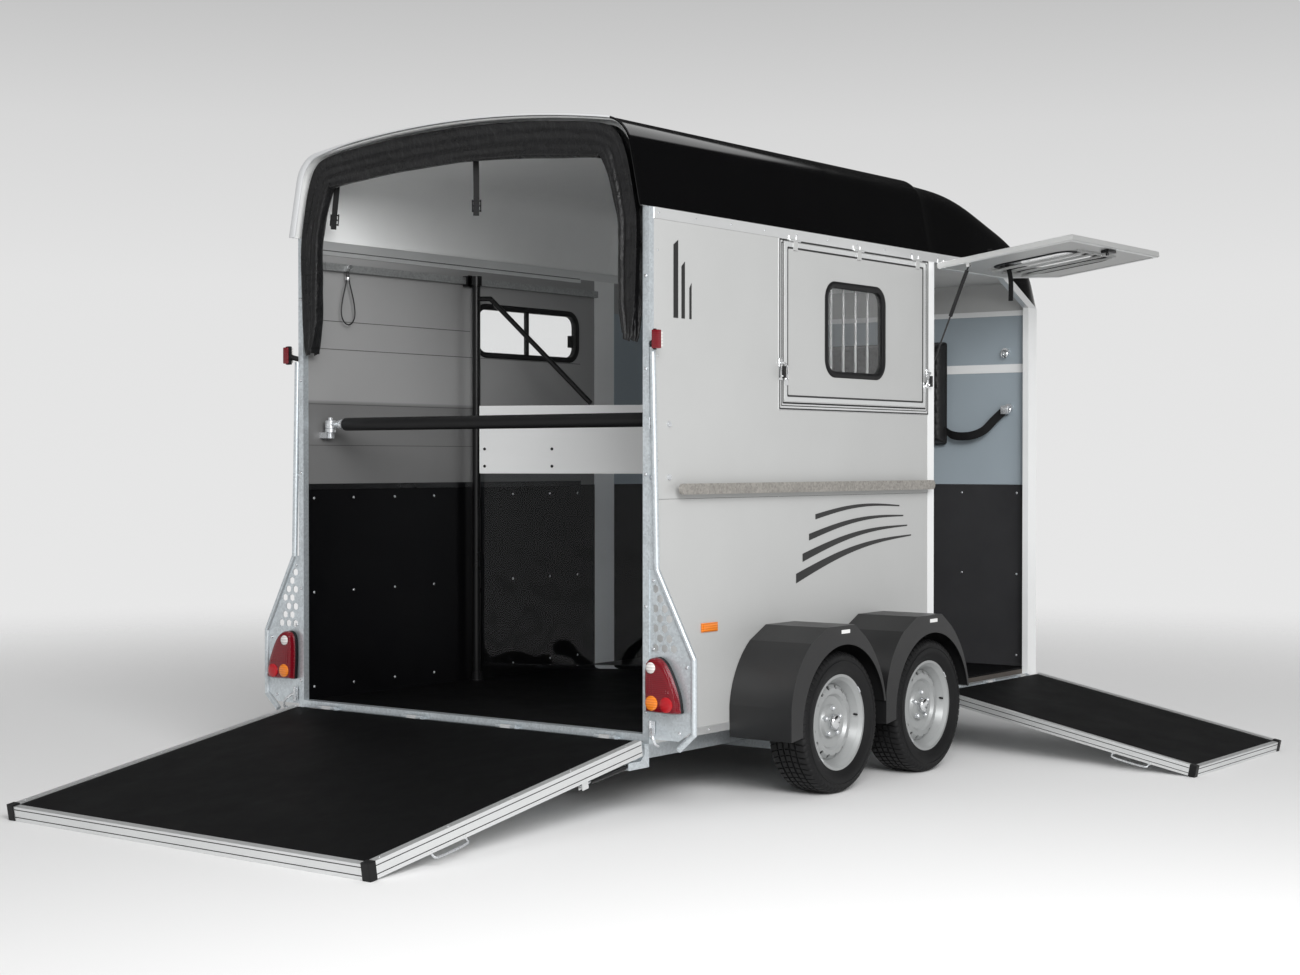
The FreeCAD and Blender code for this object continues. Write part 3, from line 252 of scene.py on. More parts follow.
def kickFinish():
    # boards of the load space are black, the one across the front is charcoal
    mat, tree, shader = newFinish("kickBoard")
    place = objectPattern(tree)
    cloud = grainOf(tree, place, 3.5, 6, 0.65)
    fine = grainOf(tree, place, 500, 3)
    black = ramp(tree, cloud, [(0.3, (0.0015, 0.0015, 0.0018)), (0.75, (0.0028, 0.0028, 0.0033))])
    charcoal = ramp(tree, cloud, [(0.3, (0.030, 0.030, 0.032)), (0.75, (0.040, 0.040, 0.042))])
    front = mathNode(tree, "GREATER_THAN", axisOf(tree, place, 0), skinPlaces["frontBoard"])
    feed(tree, shader, {"Base Color": mixColour(tree, front, black, charcoal), "Specular IOR Level": 0.12,
                        "Roughness": ramp(tree, cloud, [(0.3, 0.30), (0.7, 0.42)]),
                        "Normal": bumpOf(tree, fine, 0.05, 0.0005)})
    return mat


panelTone, softBlack = (0.51, 0.515, 0.51), (0.005, 0.005, 0.0055)
silverPanel = sheetFinish("silverPanel", panelTone, inside=(0.18, 0.34))
frontSilver = sheetFinish("frontSilver", panelTone)
aluminium = sheetFinish("satinAluminium", (0.76, 0.77, 0.77), 0.7, 0.34, 0.03, 500, 0.08, (0.05, 1, 1))
galvanised = galvanisedFinish("galvanised", (0.66, 0.71, 0.74))
zinc = galvanisedFinish("brightZinc", (0.7, 0.72, 0.74), 0.25)
roofGloss = darkFinish("roofGloss", (0.0018, 0.0018, 0.002), 0.14, 60, 0.012, 0.1, 0, 1.0, shine=0.1)
ceiling = sheetFinish("ceilingSkin", (0.92, 0.93, 0.925), 0.0, 0.5, 0.03, 500, 0.05, (1, 1, 1))
kickBlack = kickFinish()
wallBlue = sheetFinish("wallBlue", (0.33, 0.385, 0.425), 0.0, 0.45, 0.02)
bandWhite = sheetFinish("bandWhite", (0.85, 0.86, 0.86), 0.0, 0.4, 0.01)
rubberMat = darkFinish("rubberMat", (0.0021, 0.0021, 0.0024), 0.6, 650, 0.4, 0.3, 0.035, shine=0.12)
plywood = sheetFinish("coatedPlywood", (0.06, 0.05, 0.042), 0.0, 0.55, 0.25, 60, 0.2, (0.1, 1, 1))
grainBlack = darkFinish("grainBlack", (0.010, 0.010, 0.0105), 0.36, 1100, 0.22, 0.2, 0.04)
powderBlack = darkFinish("powderBlack", softBlack, 0.3, 1500, 0.12, 0.2, shine=0.35)
softRubber = darkFinish("sealRubber", softBlack, 0.5, 900, 0.15, 0.2, shine=0.3)
tyreRubber = darkFinish("tyreRubber", (0.0055, 0.0055, 0.006), 0.58, 700, 0.2, 0.3, 0.04, shine=0.3)
# the rim is near black past its disc: painted shade in that recess, with brake dust
rimSilver = sheetFinish("rimSilver", (0.36, 0.37, 0.37), 0.4, 0.36, 0.04, 300, 0.04, (1, 1, 1), dustAndPaintedShade=True)
foamBlack = darkFinish("foamSleeve", softBlack, 0.5, 500, 0.3, 0.2, shine=0.3)
curtainBlack = clothFinish("curtainCloth", softBlack, 1500, 0.32, 0.02, 0.9, 0.38)
webbing = clothFinish("webbing", softBlack, 2600, 0.6, 0.03, 0.0, 0.3)
padBlack = clothFinish("padCloth", (0.006, 0.006, 0.0065), 1200, 0.5, 0.1, 0.0, 0.4)
lensRed = lensFinish("lensRed", (0.17, 0.004, 0.010), 0.10, 260, 0.04)
lensAmber = lensFinish("lensAmber", (0.72, 0.2, 0.02), 0.12, 200, 0.12)
lensClear = lensFinish("lensClear", (0.75, 0.72, 0.7), 0.08, 160)
windowGlass = glassFinish("windowGlass", (0.96, 0.97, 0.97), 0.01, 0.97)
smokedSkirt = glassFinish("clearSkirt", (0.88, 0.90, 0.92), 0.0, 1.0)
seamGrey = darkFinish("seamGrey", (0.085, 0.085, 0.083), 0.5, 400, 0.03, 0.1, shine=0.2)
# light grey that stands for the glossy black lip's reflection: painted reflection
paintedLipReflection = sheetFinish("paintedLipReflection", (0.60, 0.61, 0.62), 0.0, 0.35, 0.01)
postSilver = sheetFinish("postSilver", (0.90, 0.91, 0.91), 0.2, 0.36, 0.03, 500, 0.06, (1, 1, 0.05))
labelWhite = sheetFinish("blankLabel", (0.75, 0.75, 0.74), 0.0, 0.35, 0.01)
# black film, also used for the painted shadow line inside the hatch panel's edge
decalAndShadowBlack = darkFinish("filmAndShadowBlack", (0.008, 0.008, 0.008), 0.38, 400, 0.03, 0.1)
railGrey = galvanisedFinish("railGrey", (0.38, 0.39, 0.39), 0.45, (0.42, 0.40, 0.37))
chrome = sheetFinish("brightLatch", (0.82, 0.83, 0.84), 1.0, 0.16, 0.02, 300, 0.02, (1, 1, 1))
cableBlack = darkFinish("cableCoat", (0.012, 0.012, 0.012), 0.4, 800, 0.2, 0.2)
plankSilver = sheetFinish("plankSilver", (0.95, 0.96, 0.96), 0.3, 0.4, 0.02, 500, 0.06, (0.05, 1, 1))

finishNodes = (
    (galvanised, "axles chassis_frame drawbar coupling rear_posts door_sills lamp_brackets strut_lugs"),
    (zinc, "jockey_mast jockey_fork wall_fittings ramp_strut_rods"),
    (softRubber, "jockey_wheel left_window flap_window hatch_window"),
    (grainBlack, "handbrake_lever flap_strut_rod fenders"),
    (powderBlack, "divider_mounts divider_post ramp_strut_tubes flap_strut_tube"),
    (aluminium, "wall_rails hatch_frame rear_ramp_frame side_ramp_frame"),
    (silverPanel, "right_wall_rear right_wall_lower left_wall left_front_panel groom_door"),
    (silverPanel, "hatch_panel flap_panel"), (rubberMat, "floor_mat rear_ramp_mat side_ramp_mat"),
    (postSilver, "door_posts"), (frontSilver, "front_wall"),
    (railGrey, "tie_rails"), (plankSilver, "divider_plank"), (cableBlack, "tie_loop"), (roofGloss, "roof"),
    (ceiling, "roof_liner"), (kickBlack, "kick_lining"), (wallBlue, "blue_lining"), (plywood, "floor_panel"),
    (lensRed, "lamps"), (curtainBlack, "curtain"), (padBlack, "head_pad"), (foamBlack, "rear_bar"),
    (smokedSkirt, "divider_skirt"))
nodeFinish = {nodeName: finish for finish, names in finishNodes for nodeName in names.split()}
for nodeName, thing in parts.items():
    usual = tyreRubber if nodeName.startswith("tyre") else rimSilver
    thing.data.materials.clear()
    thing.data.materials.append(nodeFinish.get(nodeName, usual))
print("finishes made")


def circle(centre, u, v, radius, count):
    turns = (2 * math.pi * k / count for k in range(count))
    return [centre + (u * math.cos(a) + v * math.sin(a)) * radius for a in turns]


# shapes, all given in the trailer's own metres and moved to the ball's frame at the end
class Shape:
    def __init__(self, turn=None):
        self.bm = bmesh.new()
        self.turn = turn

    def quad(self, verts, faces, zone=0):
        made = [self.bm.verts.new(v) for v in verts]
        for face in faces:
            self.bm.faces.new([made[i] for i in face]).material_index = zone
        return made

    def block(self, low, high, zone=0, bevel=0.0):
        (x0, y0, z0), (x1, y1, z1) = low, high
        corners = [(x, y, z) for x in (x0, x1) for y in (y0, y1) for z in (z0, z1)]
        faces = [(0, 1, 3, 2), (4, 6, 7, 5), (0, 4, 5, 1), (2, 3, 7, 6), (0, 2, 6, 4), (1, 5, 7, 3)]
        made = self.quad(corners, faces, zone)
        if bevel:
            edges = list({e for v in made for e in v.link_edges})
            result = bmesh.ops.bevel(self.bm, geom=edges, offset=bevel, segments=2, profile=0.7,
                                     affect="EDGES")
            for face in result["faces"]:
                face.material_index = zone

    def loops(self, rings, closed=True, capped=True, zone=0):
        rows = [[self.bm.verts.new(p) for p in ring] for ring in rings]
        count = len(rows[0])
        for a, b in zip(rows[:-1], rows[1:]):
            for i in range(count if closed else count - 1):
                j = (i + 1) % count
                self.bm.faces.new((a[i], a[j], b[j], b[i])).material_index = zone
        if capped:
            self.bm.faces.new(list(reversed(rows[0]))).material_index = zone
            self.bm.faces.new(rows[-1]).material_index = zone
        return rows

    def band(self, rings, zone=0):
        # rings that are joined into a tube which closes on itself
        rows = [[self.bm.verts.new(p) for p in ring] for ring in rings]
        for a, b in zip(rows, rows[1:] + rows[:1]):
            for i in range(len(a)):
                j = (i + 1) % len(a)
                self.bm.faces.new((a[i], a[j], b[j], b[i])).material_index = zone

    def cloth(self, rows):
        # rows of vertices that are made already
        for a, b in zip(rows[:-1], rows[1:]):
            for j in range(len(a) - 1):
                self.bm.faces.new((a[j], b[j], b[j + 1], a[j + 1]))

    def rod(self, points, radius, sides=16, zone=0, capped=True):
        points = [Vector(p) for p in points]
        radii = radius if isinstance(radius, (list, tuple)) else [radius] * len(points)
        rings = []
        heading = (points[1] - points[0]).normalized()
        side = heading.orthogonal().normalized()
        for i, p in enumerate(points):
            ahead = points[min(i + 1, len(points) - 1)] - points[max(i - 1, 0)]
            ahead = ahead.normalized() if ahead.length > 1e-9 else heading
            side = (side - ahead * side.dot(ahead)).normalized()
            up = ahead.cross(side)
            heading = ahead
            rings.append(circle(p, side, up, radii[i], sides))
        return self.loops(rings, True, capped, zone)

    def lathe(self, outline, centre, axis, steps=48, zone=0):
        # outline is a list of (radius, distance along the axis), from end to end
        axis = Vector(axis).normalized()
        side = axis.orthogonal().normalized()
        up = axis.cross(side)
        rings = [circle(Vector(centre) + axis * d, side, up, max(r, 1e-5), steps) for r, d in outline]
        return self.loops(rings, True, True, zone)

    def plate(self, outline, axis, low, high, zone=0):
        # a closed outline in the plane square to the axis, in the order of the other two axes
        def at(u, v, w):
            return {"x": (w, u, v), "y": (u, w, v), "z": (u, v, w)}[axis]
        return self.loops([[at(u, v, w) for u, v in outline] for w in (low, high)], True, True, zone)

    def ribbon(self, points, wide, thick, across, zone=0):
        # a flat strap along smooth points; across is the direction of its width
        points = [Vector(p) for p in points]
        rings = []
        for i, p in enumerate(points):
            ahead = (points[min(i + 1, len(points) - 1)] - points[max(i - 1, 0)]).normalized()
            flat = (Vector(across) - ahead * Vector(across).dot(ahead)).normalized()
            proud = ahead.cross(flat)
            edges = ((-1, -1), (1, -1), (1, 1), (-1, 1))
            rings.append([p + flat * (a * wide / 2) + proud * (b * thick / 2) for a, b in edges])
        return self.loops(rings, True, True, zone)

    def piece(self, name, finishes, body, slotName, bevel=0.0, smooth=35, stands=()):
        if self.turn is not None:
            bmesh.ops.transform(self.bm, matrix=self.turn, verts=self.bm.verts[:])
        bmesh.ops.translate(self.bm, vec=-ballPlace, verts=self.bm.verts[:])
        bmesh.ops.recalc_face_normals(self.bm, faces=self.bm.faces[:])
        mesh = bpy.data.meshes.new(name)
        self.bm.to_mesh(mesh)
        self.bm.free()
        made = linked(name, mesh)
        for finish in finishes if isinstance(finishes, (list, tuple)) else [finishes]:
            mesh.materials.append(finish)
        if smooth:
            mesh.shade_smooth()
            mesh.set_sharp_from_angle(angle=math.radians(smooth))
        if bevel:
            edge = made.modifiers.new("edge", "BEVEL")
            edge.width = bevel
            edge.segments = 2
            edge.limit_method = "ANGLE"
        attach(made, body)
        if stands:
            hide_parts(*stands)
        return made


def smoothPath(points, steps=8):
    # points on a soft line through the given ones
    points = [Vector(p) for p in points]
    ends = [points[0] * 2 - points[1]] + points + [points[-1] * 2 - points[-2]]
    line = []
    for i in range(1, len(ends) - 2):
        a, b, c, d = ends[i - 1:i + 3]
        for k in range(steps):
            t = k / steps
            square, cube = 2 * a - 5 * b + 4 * c - d, 3 * b - a - 3 * c + d
            line.append(0.5 * ((2 * b) + (c - a) * t + square * t * t + cube * t ** 3))
    line.append(points[-1])
    return line


def roundedOutline(u0, u1, v0, v1, r, steps=6):
    line = []
    centres = ((u1 - r, v1 - r, 0), (u0 + r, v1 - r, 90), (u0 + r, v0 + r, 180), (u1 - r, v0 + r, 270))
    for u, v, start in centres:
        for k in range(steps + 1):
            a = math.radians(start + 90 * k / steps)
            line.append((u + r * math.cos(a), v + r * math.sin(a)))
    return line


def about(point, axis, degrees):
    point = Vector(point)
    turn = Matrix.Rotation(math.radians(degrees), 4, axis)
    return Matrix.Translation(point) @ turn @ Matrix.Translation(-point)


def lyingAngle(rise, reach, thick):
    # degrees from level at which a ramp of this reach lies, with its hinge this high over the floor
    return math.degrees(math.asin(rise / math.hypot(reach, thick)) - math.atan2(thick, reach))


# pieces that stand turned are drawn level or closed, and turned about their hinges
rampTurn = about((-0.022, 0, 0.296), "Y", -lyingAngle(0.2955, 1.485, 0.055))
sideTurn = about((0, -0.974, 0.288), "X", lyingAngle(0.2875, 1.27, 0.044))
flapTurn = about((0, -0.958, 2.266), "X", -97.5)
dividerTurn = about((1.06, 0.868, 0), "Z", -66.7)

# tyres with their tread
tyreBuild = {"radius": 0.289, "middle": 0.076, "grooves": (0.034, 0.062, 0.090, 0.118), "grooveWide": 0.0085,
             "grooveDeep": 0.0065, "blocks": 62, "sipeDeep": 0.005, "rimFace": 1.2185, "wheelX": (0.929, 1.656)}
wheels = [(wheelX, side, hand + "_" + fore) for wheelX, fore in zip(tyreBuild["wheelX"], ("rear", "front"))
          for side, hand in ((-1, "right"), (1, "left"))]


def tyreOutline():
    # (distance in from the rim's face, radius, how deep the cross cuts go there)
    shoulder = [(0.014, 0.177, 0), (0.004, 0.184, 0), (0.001, 0.196, 0), (-0.006, 0.206, 0), (-0.0135, 0.222, 0),
                (-0.0165, 0.236, 0), (-0.0158, 0.248, 0), (-0.0178, 0.249, 0), (-0.0178, 0.2515, 0),
                (-0.0148, 0.2525, 0), (-0.012, 0.262, 0), (-0.0125, 0.2655, 0.6), (-0.0085, 0.276, 1),
                (0.002, 0.2845, 1), (0.014, 0.2868, 1)]
    half, deep = tyreBuild["grooveWide"] / 2, tyreBuild["grooveDeep"]
    tread = []
    for groove in tyreBuild["grooves"]:
        crown = tyreBuild["radius"] - 0.35 * (groove - tyreBuild["middle"]) ** 2
        tread += [(groove - half, crown, 0.9), (groove - half + 0.0015, crown - deep, 0),
                  (groove + half - 0.0015, crown - deep, 0), (groove + half, crown, 0.9)]
    return shoulder + tread + [(2 * tyreBuild["middle"] - w, r, c) for w, r, c in reversed(shoulder)]


def tyrePiece(x, side, corner):
    shape = Shape()
    outline = tyreOutline()
    radius, middle, blocks = tyreBuild["radius"], tyreBuild["middle"], tyreBuild["blocks"]
    pitch = ((0, 0), (0.74, 0), (0.80, 1), (0.94, 1))
    steps = [(i + part, cut) for i in range(blocks) for part, cut in pitch]
    rings = []
    for step, cut in steps:
        ring = []
        for w, r, deep in outline:
            # the blocks lean more toward the shoulders
            lean = 0.55 * abs((w - middle) / 0.09) ** 1.5 if deep or 0.02 < w < 0.132 else 0.55
            a = 2 * math.pi * (step + lean * (1 if w < middle else 1.6)) / blocks
            r = min(r, radius) - cut * deep * tyreBuild["sipeDeep"]
            y = side * (tyreBuild["rimFace"] - w)
            ring.append(Vector((x + r * math.cos(a), y, radius + r * math.sin(a))))
        rings.append(ring)
    shape.band(rings)
    shape.piece("tyreTread_" + corner, tyreRubber, "wheel_" + corner, "tyre", 0, 40, ["tyre_" + corner])


for place in wheels:
    tyrePiece(*place)
print("tyres made")

# windows: soft rubber frames with their panes
windowBuild = {"ringWide": 0.027, "proud": 0.006, "corner": 0.08, "hatch": (1.234, 1.739, 1.708, 2.12),
               "flap": (2.42, 2.925, 1.708, 2.12), "left": (1.109, 1.897, 1.845, 2.104)}


def windowPiece(key, y0, y1, turn, body, mullion=False):
    name = key + "Window"
    x0, x1, z0, z1 = windowBuild[key]
    wide, proud, corner = windowBuild["ringWide"], windowBuild["proud"], windowBuild["corner"]
    shape = Shape(turn)
    low, high = min(y0, y1) - proud + 0.002, max(y0, y1) + proud - 0.002
    profile = [(0, low + 0.003), (0.003, low), (wide * 0.45, low - 0.0015), (wide - 0.004, low),
               (wide, low + 0.004), (wide, high - 0.004), (wide - 0.004, high), (wide * 0.45, high + 0.0015),
               (0.003, high), (0, high - 0.003)]
    rings = []
    for inset, y in profile:
        outline = roundedOutline(x0 + inset, x1 - inset, z0 + inset, z1 - inset, corner - inset, 8)
        rings.append([Vector((u, y, v)) for u, v in outline])
    shape.band(rings)
    if mullion:
        middle = (x0 + x1) / 2
        shape.block((middle - 0.009, low + 0.008, z0 + wide - 0.002),
                    (middle + 0.009, high - 0.008, z1 - wide + 0.002), 0, 0.002)
        shape.block((x1 - 0.075, low + 0.004, z0 + wide + 0.05),
                    (x1 - 0.045, low + 0.02, z0 + wide + 0.11), 0, 0.003)
    shape.piece(name + "Frame", softRubber, body, "window_rubber", 0, 40, [key + "_window"])
    # the pane reaches a little under the rubber
    pane = Shape(turn)
    middle, inset = (y0 + y1) / 2, wide - 0.001
    outline = roundedOutline(x0 + inset, x1 - inset, z0 + inset, z1 - inset, corner - wide, 8)
    pane.plate(outline, "y", middle - 0.002, middle + 0.002)
    pane.piece(name + "Pane", windowGlass, body, "window_rubber", 0, 30)


windowPiece("hatch", -0.956, -0.932, None, "hatch")
windowPiece("flap", -0.956, -0.932, flapTurn, "flap")
windowPiece("left", 0.922, 0.95, None, "trailer", True)
print("windows made")

# tie loop: a cable whose two ends meet under the ferrule on the inner rail
loopBuild = {"thick": 0.006, "long": 0.52, "top": (0.240, 0.891, 2.186), "route": [
    (-5, 0), (-5, -34), (-18, -78), (-32, -124), (-41, -172), (-37, -206), (-18, -230), (8, -236),
    (32, -223), (45, -190), (40, -144), (26, -96), (12, -56), (5, -24), (5, 0)]}
loopLine = bpy.data.curves.new("tieLoopCable", "CURVE")
loopLine.dimensions = "3D"
loopLine.bevel_depth = loopBuild["thick"] / 2
loopLine.bevel_resolution = 5
loopLine.resolution_u = 10
cable = loopLine.splines.new("NURBS")
cable.points.add(len(loopBuild["route"]) - 1)
for point, (dx, dz) in zip(cable.points, loopBuild["route"]):
    x, y, z = loopBuild["top"]
    point.co = (*spot(x + dx / 1000, y, z + dz / 1000), 1)
cable.order_u = 3
cable.use_endpoint_u = True
loopLine.materials.append(cableBlack)
tieLoop = linked("tieLoopCable", loopLine)
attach(tieLoop, "trailer")
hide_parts("tie_loop")
shackle = Shape()
x, y, z = loopBuild["top"]
ferrule = [(0.0095, -0.040), (0.0105, -0.038), (0.0105, -0.026), (0.0095, -0.024)]
boss = [(0.0062, 0.0), (0.012, 0.001), (0.013, 0.004), (0.013, 0.010), (0.011, 0.013), (0.0062, 0.0135)]
shackle.lathe(ferrule, (x, y, z), (0, 0, 1), 24, 0)
shackle.lathe(boss, (x, y - 0.006, z + 0.016), (0, -1, 0), 24, 0)
shackle.piece("loopShackle", chrome, "trailer", "galvanised", 0, 40)
print("tie loop made")

# curtain gathered up under the roof's rear edge
# "rim" holds (distance from the middle, height, how deep the roll hangs inward), left end to crown
curtainBuild = {"rim": [(0.880, 1.80, 0.035), (0.893, 1.84, 0.055), (0.905, 1.95, 0.085), (0.914, 2.12, 0.100),
                        (0.915, 2.27, 0.102), (0.893, 2.40, 0.105), (0.862, 2.53, 0.120), (0.815, 2.615, 0.135),
                        (0.735, 2.652, 0.14), (0.56, 2.675, 0.145), (0.30, 2.698, 0.148), (0.0, 2.708, 0.149)],
                "steps": 7, "half": 0.031, "reach": 0.036, "seed": 3.7}


def curtainRows():
    seat = [Vector((0, y, z)) for y, z, _ in curtainBuild["rim"]]
    deep = [d for _, _, d in curtainBuild["rim"]]
    steps, last = curtainBuild["steps"], len(deep) - 1
    left = smoothPath(seat, steps)
    deeps = []
    for i in range(len(left)):
        at, share = i // steps, (i % steps) / steps
        deeps.append(deep[min(at, last)] * (1 - share) + deep[min(at + 1, last)] * share)
    line = [Vector((p.x, -p.y, p.z)) for p in left] + [p for p in reversed(left[:-1])]
    return line, deeps + list(reversed(deeps[:-1]))


def curtainPiece():
    shape = Shape()
    line, deeps = curtainRows()
    half, reach, seed = curtainBuild["half"], curtainBuild["reach"], curtainBuild["seed"]
    # (share of the depth, place across the roof's edge): outer fold, belly, inner fold
    profile = []
    for k in range(25):
        t = k / 24
        if t < 0.42:
            profile.append((0.03 + 0.9 * t / 0.42, -1.0 + 0.22 * math.sin(t / 0.42 * math.pi)))
        elif t < 0.58:
            a = (t - 0.42) / 0.16 * math.pi
            profile.append((0.93 + 0.07 * math.sin(a), -math.cos(a)))
        else:
            back = (t - 0.58) / 0.42
            profile.append((0.93 - 0.9 * (t - 0.58) / 0.42, 1.0 - 0.2 * math.sin(back * math.pi)))
    rings, travelled = [], 0.0
    for i, p in enumerate(line):
        ahead = (line[min(i + 1, len(line) - 1)] - line[max(i - 1, 0)]).normalized()
        inward = Vector((0, ahead.z, -ahead.y))
        travelled += (p - line[max(i - 1, 0)]).length
        ring = []
        for k, (share, across) in enumerate(profile):
            fold = noise.noise(Vector((travelled * 2.2, share * 5.0, seed + (across > 0) * 9)))
            sway = 1.6 * noise.noise(Vector((travelled * 1.4, seed, 1)))
            pleat = (0.5 - abs(math.sin(share * 11 + sway))) * 0.015
            tiny = noise.noise(Vector((travelled * 9, share * 16, seed * 2))) * 0.005
            d = deeps[i] * share * (1 + 0.04 * fold) + 0.004
            x = across * (half - 0.006) + (fold * 0.004 + pleat + tiny) * (0.3 + share)
            ring.append(p + inward * d + Vector((max(-reach, min(reach, x)), 0, 0)))
        rings.append(ring)
    shape.loops(rings, False, False)
    made = shape.piece("rolledCurtain", curtainBlack, "trailer", "curtain_cloth", 0, 0, ["curtain"])
    made.data.shade_smooth()
    thick = made.modifiers.new("thickness", "SOLIDIFY")
    thick.thickness = 0.0016
    thick.offset = 0
    soft = made.modifiers.new("soft", "SUBSURF")
    soft.levels = soft.render_levels = 1


curtainPiece()
print("curtain made")

# quilted head pad on the front wall
padBuild = {"x": (3.1155, 3.2055), "y": (-0.478, 0.478), "z": (1.44, 1.96), "diamond": 0.062, "puff": 0.007,
            "columns": 150, "rows": 84, "rim": 0.035, "seamX": 0.012}


def padPiece():
    (x0, x1), (y0, y1), (z0, z1) = padBuild["x"], padBuild["y"], padBuild["z"]
    columns, rows = padBuild["columns"], padBuild["rows"]
    middle = (x0 + x1) / 2 + padBuild["seamX"]
    shape = Shape()
    grids = []
    for front in (True, False):
        grid = []
        for i in range(columns + 1):
            line = []
            for j in range(rows + 1):
                u, v = i / columns, j / rows
                y, z = y0 + (y1 - y0) * u, z0 + (z1 - z0) * v
                rim = min(u, 1 - u) * (y1 - y0), min(v, 1 - v) * (z1 - z0)
                edge = min(1, min(rim) / padBuild["rim"])
                crown = math.sin(edge * math.pi / 2) ** 0.8
                a, b = (y + z) / padBuild["diamond"], (y - z) / padBuild["diamond"]
                quilt = min(abs(math.sin(math.pi * a)), abs(math.sin(math.pi * b))) ** 0.6
                puff = padBuild["puff"] * quilt * (edge if front else 0)
                x = middle - ((middle - x0 - 0.009) * crown + puff) if front else middle + (x1 - middle) * crown
                line.append(shape.bm.verts.new((x, y, z)))
            grid.append(line)
        grids.append(grid)
    for grid in grids:
        shape.cloth(grid)
    bmesh.ops.remove_doubles(shape.bm, verts=shape.bm.verts[:], dist=0.0004)
    made = shape.piece("quiltedHeadPad", padBlack, "trailer", "pad_cloth", 0, 60, ["head_pad"])
    piping = Shape()
    outline = roundedOutline(y0 + 0.001, y1 - 0.001, z0 + 0.001, z1 - 0.001, 0.012, 4)
    ring = [Vector((middle, y, z)) for y, z in outline]
    piping.rod(ring + ring[:1], 0.0045, 10)
    piping.piece("headPadPiping", webbing, "trailer", "pad_cloth")


padPiece()
print("head pad made")

# tail lamps, marker lamps and side reflectors
# "domes" holds (distance from the middle, height, radius, material's place) for the amber, red and clear ones
lampBuild = {"outline": [(0.962, 0.407), (1.098, 0.405), (1.108, 0.43), (1.100, 0.475), (1.078, 0.53),
                         (1.052, 0.578), (1.030, 0.602), (1.004, 0.613), (0.975, 0.607), (0.960, 0.58),
                         (0.957, 0.50)],
             "centre": (1.022, 0.492), "front": -0.046, "back": 0.002, "flutes": 9,
             "domes": [(0.996, 0.443, 0.028, 1), (1.064, 0.440, 0.029, 4), (0.992, 0.575, 0.021, 2)]}


def lampLens(side):
    shape = Shape()
    ring = [Vector((0, y, z)) for y, z in lampBuild["outline"]]
    line = smoothPath(ring + ring[:1], 5)[:-1]
    centre = Vector((0, *lampBuild["centre"]))
    rings = []
    front, back = lampBuild["front"], lampBuild["back"]
    sections = ((1.0, back), (1.0, back - 0.018), (0.985, front + 0.014), (0.93, front + 0.005),
                (0.80, front + 0.001), (0.62, front), (0.42, front - 0.0005), (0.2, front - 0.001))
    for share, depth in sections:
        drawn = [centre + (p - centre) * share for p in line]
        rings.append([Vector((depth, side * p.y, p.z)) for p in drawn])
    shape.loops(rings)
    for face in shape.bm.faces:
        if face.calc_center_median().x > -0.02:
            face.material_index = 3
    for y, z, r, zone in lampBuild["domes"]:
        dome = [(r, 0.0), (r, 0.004), (r * 0.86, 0.0068), (r * 0.5, 0.0088), (0.0, 0.0095)]
        shape.lathe(dome, (front + 0.001, side * y, z), (-1, 0, 0), 32, zone)
    for k in range(lampBuild["flutes"]):
        y = 0.975 + 0.0125 * k
        top = 0.592 - max(0, y - 0.995) * 1.25
        shape.rod([(front - 0.0002, side * y, 0.478), (front + 0.0015, side * (y - 0.004), top)], 0.0016, 8, 0)
    return shape


lensBright = lensFinish("lensBrightRed", (0.42, 0.008, 0.014), 0.08, 380, 0.08)
lampFinishes = [lensRed, lensAmber, lensClear, softRubber, lensBright]
for side, hand in ((-1, "right"), (1, "left")):
    lampLens(side).piece("tailLamp_" + hand, lampFinishes, "trailer", "lamp_red", 0.0015, 40, ["lamps"])
    marker = Shape()
    arm = [(0.016, side * 0.948, 1.79), (0.0, side * 0.965, 1.795), (-0.012, side * 0.985, 1.802)]
    marker.rod(arm, 0.011, 14, 0)
    marker.block((-0.026, side * 0.982 - 0.004, 1.768), (-0.010, side * 1.0 + 0.004, 1.848), 0, 0.006)
    marker.block((-0.032, side * 0.999 - 0.015, 1.772), (-0.006, side * 0.999 + 0.015, 1.844), 1, 0.007)
    marker.block((0.004, side * 0.999 - 0.013, 1.776), (-0.006, side * 0.999 + 0.013, 1.84), 2, 0.004)
    marker.piece("markerLamp_" + hand, [softRubber, lensRed, lensClear], "trailer", "lamp_red")
    reflector = Shape()
    y = side * 0.951
    (y0, y1), (y2, y3) = sorted((y, y + side * 0.004)), sorted((y, y + side * 0.008))
    reflector.block((0.336, y0, 0.68), (0.446, y1, 0.716), 1, 0.0015)
    reflector.block((0.346, y2, 0.684), (0.436, y3, 0.712), 0, 0.002)
    reflector.piece("sideReflector_" + hand, [lensAmber, lensAmber], "trailer", "lamp_red")
print("lamps made")

# padded rear bar
# each turned part has (radius, distance along) from its own start, in metres from the middle
barBuild = {"x": 0.122, "z": 1.51, "starts": {"foam": -0.862, "tube": -0.892, "knuckle": 0.88, "collar": 0.797},
            "foam": [(0.016, 0), (0.026, 0.002), (0.028, 0.008), (0.028, 0.30), (0.0278, 0.80), (0.028, 1.3),
                     (0.028, 1.644), (0.026, 1.650), (0.016, 1.652)],
            "tube": [(0.0, 0), (0.014, 0.0), (0.0155, 0.002), (0.0155, 1.748), (0.012, 1.75), (0.0, 1.75)],
            "knuckle": [(0.0105, -0.018), (0.022, -0.018), (0.024, -0.016), (0.024, 0.016), (0.022, 0.018),
                        (0.0105, 0.018)],
            "collar": [(0.016, 0), (0.021, 0.001), (0.022, 0.005), (0.022, 0.019), (0.021, 0.022),
                       (0.016, 0.023)]}
bar = Shape()
